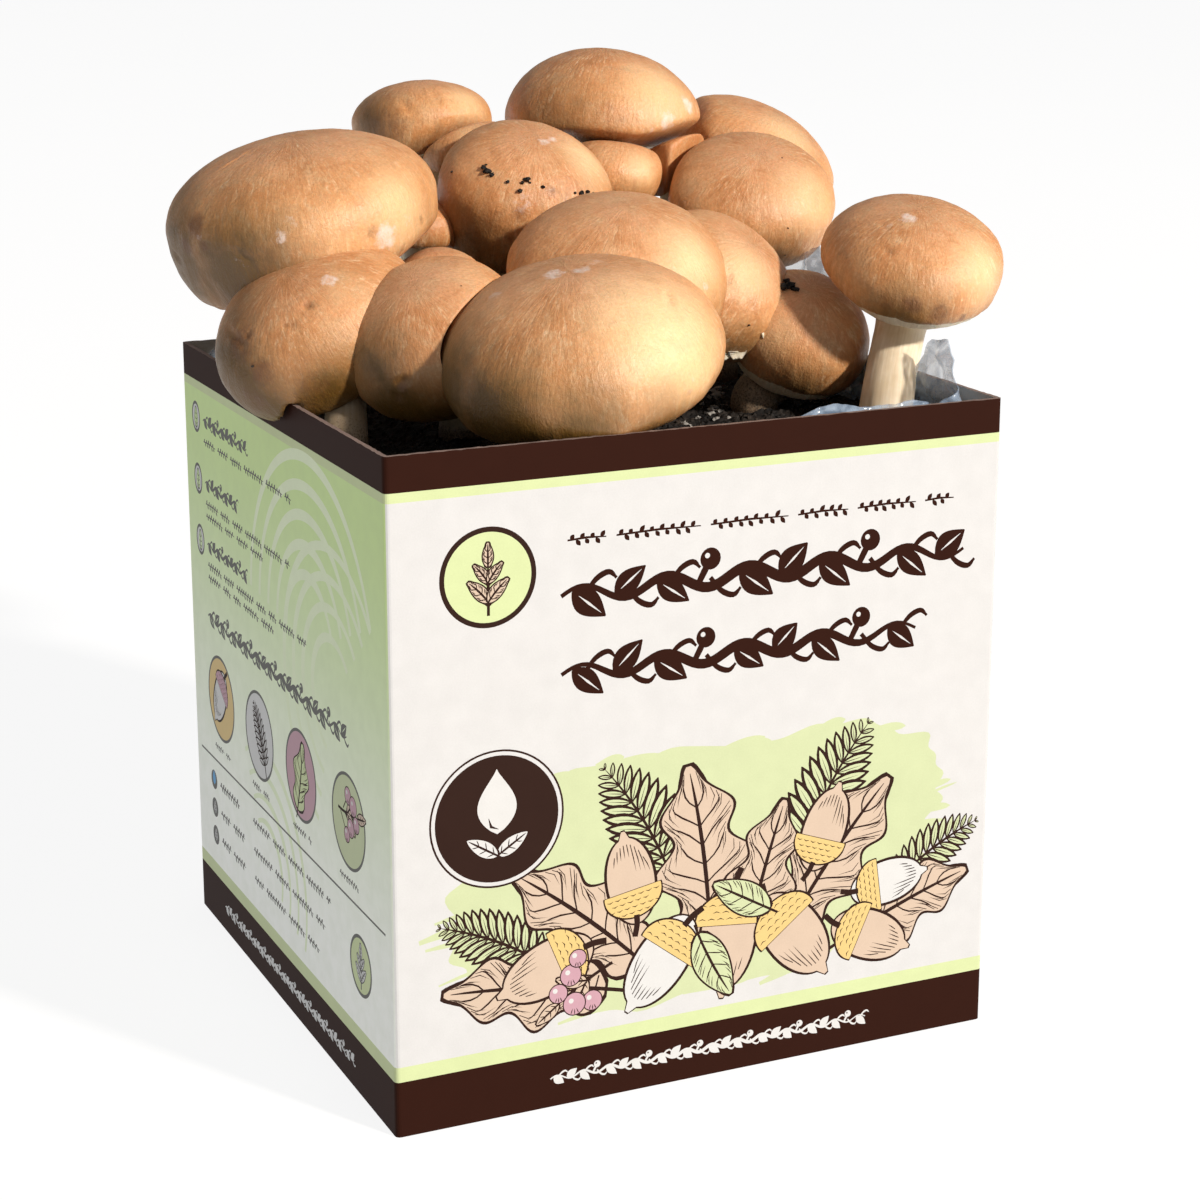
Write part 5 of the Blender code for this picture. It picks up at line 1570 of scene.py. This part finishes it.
def printed_material(name, code, roughness=0.5, shine=0.25):
    """Ink on coated board, offset-printed: nearly even, with a faint mottle and a low satin shine."""
    made, tree, place = surface(name)
    mottle = add(tree, "ShaderNodeTexNoise", {"Vector": place, "Scale": per(6), "Detail": 4.0})
    fibre = add(tree, "ShaderNodeTexNoise", {"Vector": place, "Scale": per(0.5), "Detail": 2.0})
    both = add(tree, "ShaderNodeMath", {0: mottle, 1: fibre}, operation="ADD")
    share = add(tree, "ShaderNodeMapRange", {0: both, 1: 0.7, 2: 1.3, 3: 0.0, 4: 1.0})
    full = colour(code)
    worn = (*[part * 0.93 for part in full[:3]], 1.0)
    tint = add(tree, "ShaderNodeMix", {0: share, 6: worn, 7: full}, 2, data_type="RGBA")
    normal = add(tree, "ShaderNodeBump", {"Strength": 0.12, "Distance": 0.05 * MM, "Height": fibre})
    finish_surface(tree, Base_Color=tint, Roughness=roughness, Specular_IOR_Level=shine, Normal=normal)
    return made


def side_green_material():
    """Green tint on coated board, offset-printed: it fades from full at the top to paper grey at the foot."""
    made, tree, place = surface("side_green_print")
    height = add(tree, "ShaderNodeSeparateXYZ", {0: place}, out=2)
    mottle = add(tree, "ShaderNodeTexNoise", {"Vector": place, "Scale": per(5), "Detail": 4.0})
    fade = add(tree, "ShaderNodeMapRange", {0: height, 1: 30 * MM, 2: 185 * MM},
               interpolation_type="SMOOTHSTEP")
    tint = add(tree, "ShaderNodeMix", {0: fade, 6: colour("#E9EBE6"), 7: colour("#BFD690")}, 2,
               data_type="RGBA")
    share = add(tree, "ShaderNodeMapRange", {0: mottle, 1: 0.35, 2: 0.65, 3: 0.10, 4: 0.0})
    worn = add(tree, "ShaderNodeMix", {0: share, 6: tint, 7: colour("#9FAF86")}, 2, data_type="RGBA")
    finish_surface(tree, Base_Color=worn, Roughness=0.5, Specular_IOR_Level=0.25)
    return made


def raw_board_material(name, light, dark):
    """Uncoated board, milled and cut: short fibres a shade apart, quite matt."""
    made, tree, place = surface(name)
    fibre = add(tree, "ShaderNodeTexNoise", {"Vector": place, "Scale": per(0.8), "Detail": 5.0,
                                             "Distortion": 1.5})
    tint = add(tree, "ShaderNodeMix", {0: fibre, 6: colour(dark), 7: colour(light)}, 2, data_type="RGBA")
    normal = add(tree, "ShaderNodeBump", {"Strength": 0.4, "Distance": 0.12 * MM, "Height": fibre})
    finish_surface(tree, Base_Color=tint, Roughness=0.85, Normal=normal)
    return made


def light(name, place, target, size, power, code):
    """A square softbox that faces a point."""
    lamp = bpy.data.lights.new(name, "AREA")
    lamp.shape = "SQUARE"
    lamp.size = size
    lamp.energy = power
    lamp.color = colour(code)[:3]
    made = bpy.data.objects.new(name, lamp)
    made.location = place
    made.rotation_euler = (Vector(place) - Vector(target)).to_track_quat("Z", "Y").to_euler()
    bpy.context.scene.collection.objects.link(made)


def set_stage():
    """Camera, plain pale floor, one small lamp and a pale surround."""
    scene = bpy.context.scene
    lens = bpy.data.cameras.new("camera")
    lens.sensor_width = SENSOR
    lens.lens = FOCAL_PIXELS / PHOTO_SIDE * SENSOR
    lens.shift_y = (AIM_PIXEL[1] - PHOTO_SIDE / 2) / PHOTO_SIDE
    camera = bpy.data.objects.new("camera", lens)
    camera.location = CAMERA_PLACE
    camera.rotation_euler = (radians(90 - CAMERA_PITCH), 0, radians(-CAMERA_YAW))
    scene.collection.objects.link(camera)
    scene.camera = camera

    made, tree, place = surface("studio_floor")
    broad = add(tree, "ShaderNodeTexNoise", {"Vector": place, "Scale": per(900)})
    tint = add(tree, "ShaderNodeMix", {0: broad, 6: colour("#636364"), 7: colour("#686869")}, 2,
               data_type="RGBA")
    finish_surface(tree, Base_Color=tint, Roughness=0.9, Emission_Color=colour("#FFFFFF"),
                   Emission_Strength=FLOOR_GLOW)
    corners = [(x, y, 0.0) for y in (-FLOOR_HALF, FLOOR_HALF) for x in (-FLOOR_HALF, FLOOR_HALF)]
    floor = grid_mesh("floor", np.array(corners), 2, 2)
    floor.materials.append(made)
    ground = bpy.data.objects.new("floor", floor)
    scene.collection.objects.link(ground)

    world = bpy.data.worlds.new("studio")
    world.use_nodes = True
    world.node_tree.nodes["Background"].inputs["Color"].default_value = colour("#FFFFFF")
    world.node_tree.nodes["Background"].inputs["Strength"].default_value = WORLD_STRENGTH
    scene.world = world
    scene.view_settings.view_transform = "Standard"
    for lamp in LAMPS:
        light(*lamp)


def make_caps_and_stems():
    """The mushrooms, with the marks and crumbs on their caps."""
    skin, flesh, dark = cap_skin_material(), stem_flesh_material(), bpy.data.materials["casing_soil_crumbs"]
    relief, stems = cap_relief_nodes(skin), stem_nodes(flesh)
    planes = contact_planes()
    crumbs, flaps = [], []
    for index, mushroom in enumerate(MUSHROOMS):
        name = mushroom["name"]
        cage = cap_cage(mushroom, index, planes[index])
        mesh = run_nodes(cage, relief, {"Seed": index * CAP_SEED_STEP, "Skin": skin})
        tree = sighting_tree(mesh)
        mark_cap(mesh, name, tree)
        stem = stem_mesh(mushroom, index, stems, flesh)
        shown("cap_skin_" + name, mesh, skin, ("cap_" + name,))
        shown("stem_flesh_" + name, stem, flesh, ("stem_" + name,))
        for pixel_x, pixel_y, size in SKIN_CRUMBS.get(name, ()):
            point, normal = seen_on(tree, pixel_x, pixel_y)
            crumbs.append((point + normal * 0.2 * size * MM, size * MM))
        for pixel_x, pixel_y, width, drop in VEIL_FLAPS.get(name, ()):
            point, normal = seen_on(tree, pixel_x, pixel_y)
            flaps.append((point, normal, width * MM, drop * MM))
    shown("veil_flaps", flap_mesh("veil_flaps", flaps), flesh)
    shown("crumbs_on_caps", crumb_mesh("crumbs_on_caps", crumbs), dark)


def main():
    set_stage()
    peat = peat_material("casing_soil_peat", "#0C0A0A", "#2C241E", 0.85)
    loose = peat_material("casing_soil_crumbs", "#0A0808", "#33281F", 0.7)
    make_caps_and_stems()
    soil = soil_mesh()
    shown("soil_block", soil, peat, ("soil",))
    crumbs = run_nodes(soil, crumb_nodes(), {"Soil": loose})
    shown("soil_crumbs", crumbs, loose)
    tree = sighting_tree(soil)
    clumps = [(seen_on(tree, pixel_x, pixel_y)[0], size * MM) for pixel_x, pixel_y, size in MYCELIUM]
    shown("mycelium_clumps", crumb_mesh("mycelium_clumps", clumps), mycelium_material())
    shown("bag_film", bag_mesh(), film_material(), ("bag",))
    carton = carton_mesh([("board", front_print()), ("side", side_print(80, (62, 18, -24, -66))),
                          ("board", back_print()), ("side", side_print(60, (-66, -24, 18, 62)))])
    for ink in ink_materials():
        carton.materials.append(ink)
    shown("carton_board", carton, None, ("carton",))


def ink_materials():
    """The carton's materials, in the order of INKS."""
    return (
        printed_material("coated_white_board", "#BFBFC0"),
        printed_material("brown_ink", "#2A120A", 0.6, 0.05),
        printed_material("line_green_ink", "#B9C494"),
        printed_material("wash_green_ink", "#B4BD96"),
        printed_material("beige_ink", "#BBA795"),
        printed_material("engraving_ink", "#2A1812", 0.6, 0.08),
        side_green_material(),
        printed_material("pale_arc_ink", "#D5E0BE"),
        printed_material("grey_ink", "#4A4A45"),
        printed_material("mauve_ink", "#B08A96"),
        printed_material("ochre_ink", "#C9AE72"),
        printed_material("blue_ink", "#4C93C4"),
        printed_material("white_ink", "#C2C2C2"),
        raw_board_material("raw_board", "#B9B9B6", "#9C9C98"),
        raw_board_material("cut_board_edge", "#94807A", "#54423B"),
    )


main()
